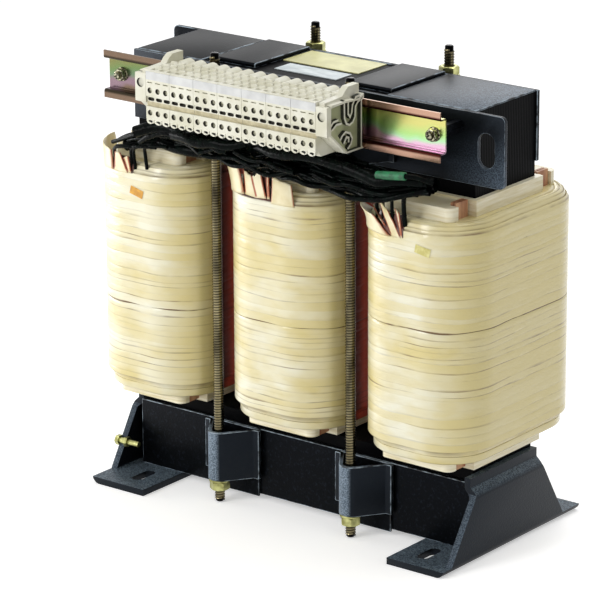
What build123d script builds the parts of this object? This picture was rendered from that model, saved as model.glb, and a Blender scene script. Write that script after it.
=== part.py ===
from build123d import *
import os

os.makedirs("parts", exist_ok=True)

# driving dimensions (mm)
core_y = 15.5                 # core centre line behind the origin, so that the whole box is centred

# laminated core
limb_width = 60
window_width = 60
window_height = 198
stack = 72
foot_sheet = 5
core_length = 3 * limb_width + 2 * window_width
core_half = core_length / 2
pitch = limb_width + window_width
core_bottom = foot_sheet
window_bottom = core_bottom + limb_width
window_top = window_bottom + window_height
core_top = window_top + limb_width

# coils
coil_gap = 21                 # air between neighbouring coils
coil_half_x = (pitch - coil_gap) / 2
coil_half_y = stack / 2 + 41.5
coil_radius = 38
coil_bottom = window_bottom + 22.5
coil_top = window_top - 19
rim_step = 4                  # the inner layers, set back by this, stand out above and below the winding
rim_rise = 7
lower_rim = 10
rim_top = coil_top + rim_rise
coil_low = coil_bottom - lower_rim

# pressboard formers with a collar above and below the winding
former_gap = 0.3              # air between limb and winding former
former_wall = 4
former_bottom = window_bottom + 1.5
former_top = window_top - 0.5
former_half_x = limb_width / 2 + former_gap
former_half_y = stack / 2 + former_gap
inner_half_x = former_half_x + former_wall
inner_half_y = former_half_y + former_wall
collar_half_y = inner_half_y + 23.7
collar_web = inner_half_x - 12        # the collar is this wide, to either side, up to its outer board
collar_board = 8                      # outer board, across the full width of the former
collar_half_x = inner_half_x - 4
collar_radius = 6
collar_drop = 7.5
collar_rise = 10
slat_sheet = 2.2              # boards standing on edge in the corners of the collar
slat_width = 13
slat_rise = 12
slat_drop = 8.5
slat_gap = 0.8
slats_per_corner = 2

# clamp sheets
clamp_sheet = 3
clamp_height = 51
clamp_short = core_half + 1.5         # flush end, from the core centre
clamp_long = core_half + 26           # projecting end with the lifting slot
clamp_corner = 4                      # rounding at the projecting end
lift_slot_x = clamp_long - 15
lift_slot_width = 14
lift_slot_height = 25
clamp_top = core_top + 1
clamp_low = clamp_top - clamp_height
bottom_clamp_top = window_bottom - 9.5
plate_face = stack / 2 + clamp_sheet

# tie rods and their hat brackets
rod_diameter = 7.8
rod_y = plate_face + 19.5
rod_x = pitch / 2
rod_bottom = 0.6
rod_top = core_top + 15.5
hat_height = 37.5
hat_sheet = 3
hat_loop_inner = 6
hat_front = rod_y + 4.7               # inside of the loop, from the core centre plane
hat_front_half = 3.2
hat_web_foot = 19
hat_flange_end = 25
bend_small = 1.5
hat_foot_bend = hat_sheet + bend_small
hat_low = bottom_clamp_top - hat_height
hat_start = clamp_low + 5
hat_high = hat_start + hat_height
pad_sheet = 2                         # packing plate behind each bottom hat
pad_width = 45
pad_bottom = 3.5
nut_flats = 13
nut_height = 6.5
washer_diameter = 16
washer_thickness = 1.6
bore_sides = 8                        # the hidden bores of washers and nuts are plain polygons

# feet
foot_width = 49
foot_outer = core_half + 10.5
foot_half = stack / 2 + 49
end_low_front = stack / 2 + 38.8      # the upright plate is wider towards one side
end_high_front = stack / 2 + 9.3
end_low_rear = stack / 2 + 27.4
end_high_rear = stack / 2 + 0.5
end_joggle_start = window_bottom - 15
end_joggle_end = window_bottom - 10
foot_top = window_bottom - 3.5
foot_slot_x = foot_outer - 29.5
foot_slot_y = foot_half - 24
foot_slot_length = 22
foot_slot_width = 9

# top covers and straps
cover_sheet = 1.5
strap_sheet = 3.5
strap_width = 37.5
strap_front = stack / 2 - 7           # the straps stop short of the front clamp
strap_rear = stack / 2 - 0.5
strap_edge = 1.5                      # rounding of the upper edges at both ends
strap_left_x = -rod_x - 6
strap_right_x = rod_x - 5.4
cover_left_end = strap_left_x - strap_width / 2 - 6
cover_right_start = strap_right_x + strap_width / 2 + 1.8

# rail
rail_height = 35
rail_depth = 7.5
rail_sheet = 1.2
rail_web = 25
rail_bend = 0.6
rail_left = -core_half
rail_right = core_half - 2.5
rail_z = clamp_top - 11
rail_back = hat_front + hat_sheet + 0.6
rail_bolt_x = core_half - 12
spacer_flats = 8

# terminals
terminal_columns = 3
terminal_blocks = 7
column_pitch = 7.12
block_gap = 0.25
block_pitch = terminal_columns * column_pitch
block_width = block_pitch - block_gap
strip_left = -terminal_blocks * block_pitch / 2 - 0.75
strip_right = strip_left + terminal_blocks * block_pitch - block_gap
terminal_back = rail_back + rail_depth
terminal_front = terminal_back + 41.7
terminal_bottom = rail_z - 17
terminal_top = rail_z + 22
terminal_edge = 1                     # small bevel along the upper front edge
lower_chamfer_y = 6
lower_chamfer_z = 4
channel_low = rail_z - 3.5            # recessed channel between the two rows of holes
channel_high = rail_z + 3.5
channel_depth = 1.5
marker_low = rail_z + 15.6            # seat of the white marker strips
marker_high = rail_z + 21.4
marker_depth = 0.8
shoulder_y = 22                       # groove across the top behind the wire entries
groove_width = 3
groove_depth = 3
upper_hole_z = rail_z + 8
lower_hole_z = rail_z - 8.5
driver_hole = 3.6
driver_hole_sides = 6
driver_hole_depth = 9
entry_width = 4.6
entry_length = 4.5
entry_depth = 3
entry_rows = (7.5, 16)                # distance of the wire entries behind the front face

# end brackets at both ends of the strip
end_bracket_width = 9.5
bracket_nose = 5                      # the front face stops above the sloping underside
bracket_top = terminal_top + 6
bracket_shoulder = terminal_top + 1
bracket_recess = 6.6
bracket_recess_z = rail_z + 7
bracket_recess_depth = 3
recess_sides = 16
bracket_slot_length = 13
bracket_slot_width = 2.6

# rail fixings
rail_nut_flats = 8
rail_nut_height = 3.5
rail_screw_diameter = 5
rail_screw_end = 2

# label plates, bare, on the yoke between the straps
label_mid = (strap_left_x + strap_right_x) / 2
plate_x = label_mid - 6
plate_y = 18.3
plate_length = 67.5
plate_width = 34
strip_x = label_mid - 1.8
strip_y = -12.8
strip_length = 55
strip_width = 18.5
plate_sheet = 0.6

# earth bolt through the left foot
earth_y = -end_low_rear + 11.4
earth_z = core_bottom + 19
earth_flats = 7
earth_head = 3
earth_screw = 4.5
earth_hole = 5
earth_end = 13

# leads in black sleeves, a bundle in front of the core above the coils
loom_diameter = 13
loom_sides = 12
loom_seat = rim_top + 6.6
loom_front = coil_half_y + 6.5
loom_end_y = collar_half_y + 7
loom_lower = [(-pitch - 13, -loom_end_y, loom_seat), (-pitch + 25, -loom_front, loom_seat + 6.9),
              (pitch - 55, -loom_front, loom_seat + 6.9), (pitch - 12, -loom_end_y, loom_seat)]
loom_upper = [(-pitch + 2, -loom_front - 1, loom_seat + 17.5), (-pitch + 25, -loom_front - 6, loom_seat + 19),
              (pitch - 55, -loom_front - 6, loom_seat + 19), (pitch - 32, -loom_front - 1, loom_seat + 18.5)]


def level(z):
    return Plane(origin=(0, core_y, z))


def front_plane(y):
    return Plane(origin=(0, core_y - y, 0), x_dir=(1, 0, 0), z_dir=(0, -1, 0))


def side_plane(x):
    return Plane(origin=(x, core_y, 0), x_dir=(0, 1, 0), z_dir=(1, 0, 0))


def save(piece, name):
    piece.part.label = name
    export_step(piece.part, f"parts/{name}.step")


# laminated core
for name, base in (("core_lower_yoke", core_bottom), ("core_upper_yoke", window_top)):
    with BuildPart() as yoke:
        with BuildSketch(level(base)):
            Rectangle(core_length, stack)
        extrude(amount=limb_width)
    save(yoke, name)

for name, x in (("core_limb_left", -pitch), ("core_limb_middle", 0), ("core_limb_right", pitch)):
    with BuildPart() as limb:
        with BuildSketch(level(window_bottom)):
            with Locations((x, 0)):
                Rectangle(limb_width, stack)
        extrude(amount=window_height)
    save(limb, name)

# coils and their formers
for side, x in (("left", -pitch), ("middle", 0), ("right", pitch)):
    with BuildPart() as former:
        with BuildSketch(level(former_bottom)):
            with Locations((x, 0)):
                Rectangle(2 * inner_half_x, 2 * inner_half_y)
        extrude(amount=former_top - former_bottom)
        for start, height in ((coil_low, -collar_drop), (rim_top, collar_rise)):
            with BuildSketch(level(start)):
                with Locations((x, 0)):
                    RectangleRounded(2 * collar_half_x, 2 * collar_half_y, collar_radius)
                    Rectangle(2 * collar_half_x, 2 * (collar_half_y - collar_board), mode=Mode.SUBTRACT)
                    Rectangle(2 * collar_web, 2 * (collar_half_y - collar_board))
            extrude(amount=height)
        with BuildSketch(level(former_bottom)):
            with Locations((x, 0)):
                Rectangle(2 * former_half_x, 2 * former_half_y)
        extrude(amount=former_top - former_bottom, mode=Mode.SUBTRACT)
    save(former, f"coil_former_{side}")

    with BuildPart() as coil:
        with BuildSketch(level(coil_bottom)):
            with Locations((x, 0)):
                RectangleRounded(2 * coil_half_x, 2 * coil_half_y, coil_radius)
        extrude(amount=coil_top - coil_bottom)
        with BuildSketch(level(coil_low)):
            with Locations((x, 0)):
                RectangleRounded(2 * (coil_half_x - rim_step), 2 * (coil_half_y - rim_step),
                                 coil_radius - rim_step)
        extrude(amount=rim_top - coil_low)
        with BuildSketch(level(coil_low)):
            with Locations((x, 0)):
                Rectangle(2 * inner_half_x, 2 * inner_half_y)
        extrude(amount=rim_top - coil_low, mode=Mode.SUBTRACT)
    save(coil, f"coil_{side}")

slat_y = collar_half_y - collar_board - slat_gap - slat_width / 2
with BuildPart() as slats:
    for start, height in ((coil_low, -slat_drop), (rim_top, slat_rise)):
        with BuildSketch(level(start)):
            for slat in range(slats_per_corner):
                slat_x = collar_web + slat_gap + slat_sheet / 2 + slat * (slat_gap + slat_sheet)
                for x in (-pitch - slat_x, -pitch + slat_x, -slat_x, slat_x, pitch - slat_x, pitch + slat_x):
                    with Locations((x, -slat_y), (x, slat_y)):
                        Rectangle(slat_sheet, slat_width)
        extrude(amount=height)
save(slats, "duct_slats")

# top clamps: plain sheets with a lifting slot
with BuildPart() as clamp:
    with BuildSketch(front_plane(plate_face)):
        with Locations(((clamp_long - clamp_short) / 2, clamp_top - clamp_height / 2)):
            Rectangle(clamp_short + clamp_long, clamp_height)
    extrude(amount=-clamp_sheet)
    fillet(clamp.edges().filter_by(Axis.Y).group_by(Axis.X)[-1], clamp_corner)
    with BuildSketch(front_plane(plate_face)):
        with Locations((lift_slot_x, clamp_top - clamp_height / 2)):
            SlotOverall(lift_slot_height, lift_slot_width, rotation=90)
    extrude(amount=-clamp_sheet, mode=Mode.SUBTRACT)
save(clamp, "top_clamp_front")

with BuildPart() as clamp_rear:
    add(clamp.part.rotate(Axis((0, core_y, 0), (0, 0, 1)), 180))
save(clamp_rear, "top_clamp_rear")

# bottom clamps: plain sheets
for name, y in (("bottom_clamp_front", plate_face), ("bottom_clamp_rear", -stack / 2)):
    with BuildPart() as sheet:
        with BuildSketch(front_plane(y)):
            with Locations((0, (core_bottom + bottom_clamp_top) / 2)):
                Rectangle(core_length, bottom_clamp_top - core_bottom)
        extrude(amount=-clamp_sheet)
    save(sheet, name)

# hat brackets that hold the tie rods
for name, base, turn, face in (("bottom_hats_front", hat_low, 1, plate_face + pad_sheet),
                               ("bottom_hats_rear", hat_low, -1, plate_face + pad_sheet),
                               ("top_hats_front", hat_start, 1, plate_face),
                               ("top_hats_rear", hat_start, -1, plate_face)):
    with BuildPart() as hats:
        for x in (-rod_x, rod_x):
            with BuildSketch(Plane(origin=(x, core_y, base), x_dir=(turn, 0, 0))):
                with BuildLine():
                    FilletPolyline((hat_flange_end, -face), (hat_web_foot, -face),
                                   (hat_front_half, -hat_front), (-hat_front_half, -hat_front),
                                   (-hat_web_foot, -face), (-hat_flange_end, -face),
                                   radius=[hat_foot_bend, hat_loop_inner, hat_loop_inner, hat_foot_bend])
                    offset(amount=hat_sheet, side=Side.LEFT)
                make_face()
            extrude(amount=hat_height)
    save(hats, name)

with BuildPart() as pads:
    pad_middle = (pad_bottom + bottom_clamp_top) / 2
    for y in (plate_face + pad_sheet, -plate_face):
        with BuildSketch(front_plane(y)):
            with Locations((-rod_x, pad_middle), (rod_x, pad_middle)):
                Rectangle(pad_width, bottom_clamp_top - pad_bottom)
        extrude(amount=-pad_sheet)
save(pads, "hat_plates")

# tie rods, washers and nuts
rod_spots = [(x, y) for x in (-rod_x, rod_x) for y in (-rod_y, rod_y)]
with BuildPart() as rods:
    with BuildSketch(level(rod_bottom)):
        with Locations(*rod_spots):
            Circle(rod_diameter / 2)
    extrude(amount=rod_top - rod_bottom)
save(rods, "tie_rods")

for name, start in (("bottom_washers", hat_low - washer_thickness), ("top_washers", hat_high)):
    with BuildPart() as washers:
        with BuildSketch(level(start)):
            with Locations(*rod_spots):
                Circle(washer_diameter / 2)
                RegularPolygon(rod_diameter / 2, bore_sides, major_radius=False, mode=Mode.SUBTRACT)
        extrude(amount=washer_thickness)
    save(washers, name)
for name, start in (("bottom_nuts", hat_low - washer_thickness - nut_height),
                    ("top_nuts", hat_high + washer_thickness)):
    with BuildPart() as nuts:
        with BuildSketch(level(start)):
            with Locations(*rod_spots):
                RegularPolygon(nut_flats / 2, 6, major_radius=False)
                RegularPolygon(rod_diameter / 2, bore_sides, major_radius=False, mode=Mode.SUBTRACT)
        extrude(amount=nut_height)
    save(nuts, name)

# feet: one bent plate at each end
end_face = core_half + foot_sheet
with BuildPart() as foot:
    with BuildSketch(Plane(origin=(0, core_y + foot_half, 0), x_dir=(1, 0, 0), z_dir=(0, -1, 0))):
        with BuildLine():
            FilletPolyline((foot_outer - foot_width, 0), (foot_outer, 0), (foot_outer, end_joggle_start),
                           (end_face, end_joggle_end), (end_face, foot_top),
                           radius=[foot_sheet + bend_small, foot_sheet + bend_small, bend_small])
            offset(amount=foot_sheet, side=Side.LEFT)
        make_face()
    extrude(amount=2 * foot_half)
    with BuildSketch(side_plane(foot_outer)):
        with BuildLine():
            Polyline((-end_low_front, foot_sheet), (-end_high_front, end_joggle_start),
                     (-end_high_front, foot_top), (-foot_half, foot_top), (-foot_half, foot_sheet), close=True)
        make_face()
        with BuildLine():
            Polyline((end_low_rear, foot_sheet), (end_high_rear, end_joggle_start),
                     (end_high_rear, foot_top), (foot_half, foot_top), (foot_half, foot_sheet), close=True)
        make_face()
    extrude(amount=-foot_width / 2, mode=Mode.SUBTRACT)
    with BuildSketch(level(0)):
        with Locations((foot_slot_x, -foot_slot_y), (foot_slot_x, foot_slot_y)):
            SlotOverall(foot_slot_length, foot_slot_width, rotation=90)
    extrude(amount=foot_sheet, mode=Mode.SUBTRACT)
save(foot, "foot_right")

with BuildPart() as foot_left:
    add(foot.part.rotate(Axis((0, core_y, 0), (0, 0, 1)), 180))
    with BuildSketch(side_plane(-foot_outer)):
        with Locations((earth_y, earth_z)):
            Circle(earth_hole / 2)
    extrude(amount=foot_sheet, mode=Mode.SUBTRACT)
save(foot_left, "foot_left")

# covers and straps on the upper yoke
for name, x0, x1 in (("yoke_cover_left", -core_half, cover_left_end),
                     ("yoke_cover_right", cover_right_start, core_half)):
    with BuildPart() as cover:
        with BuildSketch(level(core_top)):
            with Locations(((x0 + x1) / 2, 0)):
                Rectangle(x1 - x0, stack)
        extrude(amount=cover_sheet)
    save(cover, name)

for name, x in (("cross_strap_left", strap_left_x), ("cross_strap_right", strap_right_x)):
    with BuildPart() as strap:
        with BuildSketch(level(core_top)):
            with Locations((x, (strap_rear - strap_front) / 2)):
                Rectangle(strap_width, strap_front + strap_rear)
        extrude(amount=strap_sheet)
        fillet(strap.faces().sort_by(Axis.Z)[-1].edges().filter_by(Axis.X), strap_edge)
    save(strap, name)

# mounting rail with its bolts
with BuildPart() as rail:
    with BuildSketch(side_plane(rail_left)):
        with BuildLine():
            lip = -rail_back - rail_depth + rail_sheet
            FilletPolyline((lip, rail_z + rail_height / 2), (lip, rail_z + rail_web / 2),
                           (-rail_back, rail_z + rail_web / 2), (-rail_back, rail_z - rail_web / 2),
                           (lip, rail_z - rail_web / 2), (lip, rail_z - rail_height / 2),
                           radius=[rail_bend, rail_sheet + rail_bend, rail_sheet + rail_bend, rail_bend])
            offset(amount=rail_sheet, side=Side.RIGHT)
        make_face()
    extrude(amount=rail_right - rail_left)
save(rail, "din_rail")

with BuildPart() as spacers:
    with BuildSketch(front_plane(plate_face)):
        with Locations((-rail_bolt_x, rail_z), (rail_bolt_x, rail_z)):
            RegularPolygon(spacer_flats / 2, 6, major_radius=False)
    extrude(amount=rail_back - plate_face)
save(spacers, "rail_spacers")

with BuildPart() as rail_screws:
    with BuildSketch(front_plane(rail_back + rail_sheet)):
        with Locations((-rail_bolt_x, rail_z), (rail_bolt_x, rail_z)):
            RegularPolygon(rail_nut_flats / 2, 6, major_radius=False)
    extrude(amount=rail_nut_height)
    with BuildSketch(front_plane(rail_back + rail_sheet + rail_nut_height)):
        with Locations((-rail_bolt_x, rail_z), (rail_bolt_x, rail_z)):
            Circle(rail_screw_diameter / 2)
    extrude(amount=rail_screw_end)
save(rail_screws, "rail_bolts")

# terminal blocks on the rail
columns = [strip_left + block * block_pitch + (column + 0.5) * column_pitch
           for block in range(terminal_blocks) for column in range(terminal_columns)]
shoulder = -terminal_front + shoulder_y

with BuildPart() as blocks:
    for block in range(terminal_blocks):
        with BuildSketch(side_plane(strip_left + block * block_pitch)):
            with BuildLine():
                Polyline((-terminal_front + lower_chamfer_y, terminal_bottom),
                         (-terminal_front, terminal_bottom + lower_chamfer_z),
                         (-terminal_front, channel_low), (-terminal_front + channel_depth, channel_low),
                         (-terminal_front + channel_depth, channel_high), (-terminal_front, channel_high),
                         (-terminal_front, marker_low), (-terminal_front + marker_depth, marker_low),
                         (-terminal_front + marker_depth, marker_high),
                         (-terminal_front + terminal_edge, terminal_top), (shoulder, terminal_top),
                         (shoulder + groove_width / 2, terminal_top - groove_depth),
                         (shoulder + groove_width, terminal_top), (-terminal_back, terminal_top),
                         (-terminal_back, terminal_bottom), close=True)
            make_face()
        extrude(amount=block_width)
    with BuildSketch(front_plane(terminal_front)):
        for x in columns:
            with Locations((x, upper_hole_z), (x, lower_hole_z)):
                RegularPolygon(driver_hole / 2, driver_hole_sides)
    extrude(amount=-driver_hole_depth, mode=Mode.SUBTRACT)
    with BuildSketch(level(terminal_top)):
        for x in columns:
            for row in entry_rows:
                with Locations((x, -terminal_front + row)):
                    Rectangle(entry_width, entry_length)
    extrude(amount=-entry_depth, mode=Mode.SUBTRACT)
save(blocks, "terminal_blocks")

with BuildPart() as markers:
    with BuildSketch(front_plane(terminal_front)):
        for block in range(terminal_blocks):
            block_middle = strip_left + block * block_pitch + block_width / 2
            with Locations((block_middle, (marker_low + marker_high) / 2)):
                Rectangle(block_width, marker_high - marker_low)
    extrude(amount=-marker_depth)
save(markers, "marker_strips")

for name, x in (("end_bracket_left", strip_left - block_gap - end_bracket_width),
                ("end_bracket_right", strip_right + block_gap)):
    with BuildPart() as bracket:
        with BuildSketch(side_plane(x)):
            with BuildLine():
                Polyline((-terminal_front, rail_z - terminal_edge),
                         (-terminal_front, terminal_top - bracket_nose),
                         (-terminal_front + bracket_nose, bracket_shoulder), (shoulder, bracket_shoulder),
                         (shoulder + bracket_nose, bracket_top), (-terminal_back, bracket_top),
                         (-terminal_back, terminal_bottom), (shoulder, terminal_bottom), close=True)
            make_face()
        extrude(amount=end_bracket_width)
        with BuildSketch(front_plane(terminal_front)):
            with Locations((x + end_bracket_width / 2, bracket_recess_z)):
                RegularPolygon(bracket_recess / 2, recess_sides)
        extrude(amount=-bracket_recess_depth, mode=Mode.SUBTRACT)
        with BuildSketch(side_plane(x)):
            with Locations((shoulder, rail_z + bracket_nose)):
                SlotOverall(bracket_slot_length, bracket_slot_width, rotation=60)
            with Locations((shoulder - bracket_nose, terminal_top - bracket_nose)):
                SlotOverall(bracket_slot_length, bracket_slot_width)
        extrude(amount=end_bracket_width, mode=Mode.SUBTRACT)
    save(bracket, name)

# label plates on the upper yoke
for name, x, y, length, width in (("rating_plate", plate_x, plate_y, plate_length, plate_width),
                                  ("rating_strip", strip_x, strip_y, strip_length, strip_width)):
    with BuildPart() as plate:
        with BuildSketch(level(core_top)):
            with Locations((x, y)):
                Rectangle(length, width)
        extrude(amount=plate_sheet)
    save(plate, name)

# earth bolt through the left foot
with BuildPart() as earth:
    with BuildSketch(side_plane(-foot_outer)):
        with Locations((earth_y, earth_z)):
            RegularPolygon(earth_flats / 2, 6, major_radius=False)
    extrude(amount=-earth_head)
    with BuildSketch(side_plane(-foot_outer)):
        with Locations((earth_y, earth_z)):
            Circle(earth_screw / 2)
    extrude(amount=foot_sheet + earth_end)
    with BuildSketch(side_plane(-foot_outer + foot_sheet)):
        with Locations((earth_y, earth_z)):
            RegularPolygon(earth_flats / 2, 6, major_radius=False)
    extrude(amount=earth_head)
save(earth, "earth_bolt")

# sleeved leads lying over the coils
for name, points in (("lead_loom_lower", loom_lower), ("lead_loom_upper", loom_upper)):
    with BuildPart() as loom:
        with BuildLine() as route:
            Polyline(*[(x, core_y + y, z) for x, y, z in points])
        with BuildSketch(Plane(origin=route.line @ 0, z_dir=route.line % 0)):
            RegularPolygon(loom_diameter / 2, loom_sides)
        sweep(transition=Transition.RIGHT)
    save(loom, name)
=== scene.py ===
import math
import random
import bpy
import bmesh
from mathutils import Matrix, Vector, noise


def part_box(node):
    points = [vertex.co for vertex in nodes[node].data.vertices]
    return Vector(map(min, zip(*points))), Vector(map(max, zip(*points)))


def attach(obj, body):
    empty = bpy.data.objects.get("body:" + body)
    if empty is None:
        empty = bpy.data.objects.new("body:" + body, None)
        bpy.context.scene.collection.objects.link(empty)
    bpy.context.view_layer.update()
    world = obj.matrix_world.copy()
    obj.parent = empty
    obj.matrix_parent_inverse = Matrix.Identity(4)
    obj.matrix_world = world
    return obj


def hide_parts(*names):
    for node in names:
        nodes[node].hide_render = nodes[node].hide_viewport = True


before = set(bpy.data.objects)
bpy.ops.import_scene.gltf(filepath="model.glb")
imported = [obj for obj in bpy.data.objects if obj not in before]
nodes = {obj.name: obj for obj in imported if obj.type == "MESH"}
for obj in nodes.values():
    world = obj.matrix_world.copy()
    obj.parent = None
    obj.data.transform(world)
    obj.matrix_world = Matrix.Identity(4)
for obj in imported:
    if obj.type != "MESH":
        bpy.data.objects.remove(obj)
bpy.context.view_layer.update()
mm = 0.001
coreY = 15.5   # the core's centre line lies this far behind the origin, mm
print("frame loaded:", len(nodes), "nodes")


def linear(hexCode):
    channels = [int(hexCode[i:i + 2], 16) / 255 for i in (1, 3, 5)]
    return tuple(c / 12.92 if c <= 0.04045 else ((c + 0.055) / 1.055) ** 2.4 for c in channels) + (1.0,)


def feed(tree, node, inputs):
    # a socket is linked to its input, a hex colour is turned linear, and any other value is set as it is
    for key, value in inputs.items():
        if isinstance(value, bpy.types.NodeSocket):
            tree.links.new(value, node.inputs[key])
        else:
            node.inputs[key].default_value = linear(value) if isinstance(value, str) else value


def addNode(tree, kind, inputs=None, stops=(), **settings):
    # stops are the (position, hex colour) pairs of a colour ramp, from low to high
    node = tree.nodes.new("ShaderNode" + kind)
    for key, value in settings.items():
        setattr(node, key, value)
    feed(tree, node, inputs or {})
    for spare in stops[2:]:
        node.color_ramp.elements.new(0.5)
    for number, (position, colour) in enumerate(stops):
        element = node.color_ramp.elements[number]
        element.position = position
        element.color = linear(colour)
    return node


def newMaterial(name, surface, grains=()):
    # surface holds the shader's own values; each grain is a noise: (lump size in mm, detail, stretch along the axes)
    material = bpy.data.materials.new(name)
    material.use_nodes = True
    tree = material.node_tree
    shader = tree.nodes["Principled BSDF"]
    feed(tree, shader, surface)
    place = addNode(tree, "TexCoord")
    made = []
    for lumpMm, detail, stretch in grains:
        scaled = addNode(tree, "Mapping", {"Vector": place.outputs["Object"], "Scale": [1 / s for s in stretch]})
        made.append(addNode(tree, "TexNoise", {"Vector": scaled.outputs["Vector"], "Scale": 1000 / lumpMm,
                                               "Detail": detail}).outputs["Fac"])
    return material, tree, shader, place, made


even = (1, 1, 1)   # a grain that is stretched along no axis


def cloudedMaterial(name, surface, grain, tones, relief=None, roughRange=None):
    # one grain drifts between two tones; relief is (depth in mm, strength) and may name a finer grain of its own
    material, tree, shader, place, made = newMaterial(name, surface, [grain, *(relief or ())[2:]])
    tone = addNode(tree, "ValToRGB", {"Fac": made[0]}, tones)
    feed(tree, shader, {"Base Color": tone.outputs["Color"]})
    if relief:
        bump = addNode(tree, "Bump", {"Height": made[-1], "Distance": relief[0] * mm, "Strength": relief[1]})
        feed(tree, shader, {"Normal": bump.outputs["Normal"]})
    if roughRange:
        rough = addNode(tree, "MapRange", {0: made[0], 3: roughRange[0], 4: roughRange[1]})
        feed(tree, shader, {"Roughness": rough.outputs[0]})
    return material


def at(x, y, z):
    # millimetres from the core's centre line to metres in the frame
    return Vector((x * mm, (y + coreY) * mm, z * mm))


def addObject(name, data):
    thing = bpy.data.objects.new(name, data)
    bpy.context.scene.collection.objects.link(thing)
    return thing


def newPiece(name, form, materials, replaced=(), sharpAngle=35):
    mesh = form
    if isinstance(form, bmesh.types.BMesh):
        bmesh.ops.recalc_face_normals(form, faces=form.faces[:])
        mesh = bpy.data.meshes.new(name)
        form.to_mesh(mesh)
        form.free()
    for polygon in mesh.polygons:
        polygon.use_smooth = True
    mesh.set_sharp_from_angle(angle=math.radians(sharpAngle))
    piece = addObject(name, mesh)
    for material in materials:
        mesh.materials.append(material)
    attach(piece, "root")
    if replaced:
        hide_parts(*replaced)
    return piece


def skin(form, rows, ring=True, closed=False, material=0):
    # faces between each row of points and the next; in a ring the last point joins the first
    for lower, upper in list(zip(rows[:-1], rows[1:])) + ([(rows[-1], rows[0])] if closed else []):
        count = len(lower)
        for index in range(count if ring else count - 1):
            after = (index + 1) % count
            face = form.faces.new((lower[index], lower[after], upper[after], upper[index]))
            face.material_index = material


# camera, floor, world and lamps come first; angles in degrees, the camera's place in mm from the core's centre line
view = {"azimuth": 37.82, "elevation": 17.73, "roll": -0.287, "lens": 224.29, "sensor": 36, "farthest": 50,
        "place": (1562.35, -2051.57, 976.06)}
azimuth, elevation, roll = (math.radians(view[key]) for key in ("azimuth", "elevation", "roll"))
back = Vector((math.sin(azimuth) * math.cos(elevation), -math.cos(azimuth) * math.cos(elevation),
               math.sin(elevation)))
right = Vector((math.cos(azimuth), math.sin(azimuth), 0))
up = back.cross(right)
turnedRight = right * math.cos(roll) + up * math.sin(roll)
turnedUp = up * math.cos(roll) - right * math.sin(roll)
cameraData = bpy.data.cameras.new("photoCamera")
cameraData.lens = view["lens"]
cameraData.sensor_width = view["sensor"]
cameraData.clip_end = view["farthest"]
camera = addObject("photoCamera", cameraData)
camera.matrix_world = Matrix((turnedRight, turnedUp, back)).transposed().to_4x4()
camera.location = at(*view["place"])
bpy.context.scene.camera = camera
bpy.context.scene.view_settings.view_transform = "Standard"

studio = {"floorSize": 30.0, "floorColour": "#F7F7F7", "floorLift": 0.4, "worldStrength": 0.5,
          "lampsAimAt": (0, 0, 0.17)}


def seenRays(tree):
    # 1 for the camera's rays and for those that metal or glass send on, 0 for the light that falls on the object
    path = addNode(tree, "LightPath").outputs
    seen = addNode(tree, "Math", {0: path["Is Camera Ray"], 1: path["Is Glossy Ray"]},
                   operation="ADD", use_clamp=True)
    seen = addNode(tree, "Math", {0: seen.outputs[0], 1: path["Is Transmission Ray"]},
                   operation="ADD", use_clamp=True)
    return seen.outputs[0]


bpy.ops.mesh.primitive_plane_add(size=studio["floorSize"], location=(0, 0, 0))
floor = bpy.context.object
floor.name = "floor"
floorPaint, tree, shader, place, made = newMaterial("mattWhiteFloor", {
    "Base Color": studio["floorColour"], "Roughness": 0.9, "Emission Color": (1, 1, 1, 1)})
# the floor is seen a little brighter than it is lit, so that it runs into the white world
lift = addNode(tree, "Math", {0: seenRays(tree), 1: studio["floorLift"]}, operation="MULTIPLY")
feed(tree, shader, {"Emission Strength": lift.outputs[0]})
floor.data.materials.append(floorPaint)

world = bpy.data.worlds.new("studioWorld")
bpy.context.scene.world = world
world.use_nodes = True
tree = world.node_tree
strength = addNode(tree, "Mix", {0: seenRays(tree), 2: studio["worldStrength"], 3: 1.0}, data_type="FLOAT")
feed(tree, tree.nodes["Background"], {"Color": (1, 1, 1, 1), "Strength": strength.outputs[0]})

# each lamp is a sheet of light: place and size in metres, power in watts
lamps = {
    "keyFrontLeft": {"place": (-0.75, -2.1, 1.15), "width": 0.7, "height": 1.5, "power": 24},
    "topSheet": {"place": (0.1, 0.6, 1.9), "width": 1.2, "height": 1.0, "power": 12},
    "lowSheetLeft": {"place": (-1.3, -0.45, 0.18), "width": 0.9, "height": 0.3, "power": 7},
    "rearSheetLeft": {"place": (-0.3, 0.62, 0.57), "width": 0.3, "height": 0.3, "power": 0.5},
}
for name, lamp in lamps.items():
    data = bpy.data.lights.new(name, "AREA")
    data.shape = "RECTANGLE"
    data.size = lamp["width"]
    data.size_y = lamp["height"]
    data.energy = lamp["power"]
    lampObject = addObject(name, data)
    lampObject.location = lamp["place"]
    aim = Vector(studio["lampsAimAt"]) - Vector(lamp["place"])
    lampObject.rotation_euler = aim.to_track_quat("-Z", "Y").to_euler()
print("studio set")


# materials

# stoved black enamel on sheet steel: near black, and its orange peel breaks the sheen into blue-grey specks
blackEnamel = cloudedMaterial(
    "stovedBlackEnamel", {"Roughness": 0.34, "Specular IOR Level": 0.08, "Specular Tint": "#C4D2EA"},
    (2.2, 3, even), [(0.55, "#050607"), (0.8, "#191D24")], relief=(0.22, 0.55, (1.3, 1, even)))

# the same enamel with a painted blue-grey sheen that stands in for reflected light: on the left of the hats' round
# fronts, towards the right end of the top clamp and its cover, and on top of the feet; black elsewhere
sheenLook = {"black": "#050607", "tint": "#B9CCE6", "roughness": 0.42, "specular": 0.3,
             "speckMm": 0.9, "peelMm": 1.2, "peelDepth": 0.3, "peelStrength": 0.5}
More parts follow.
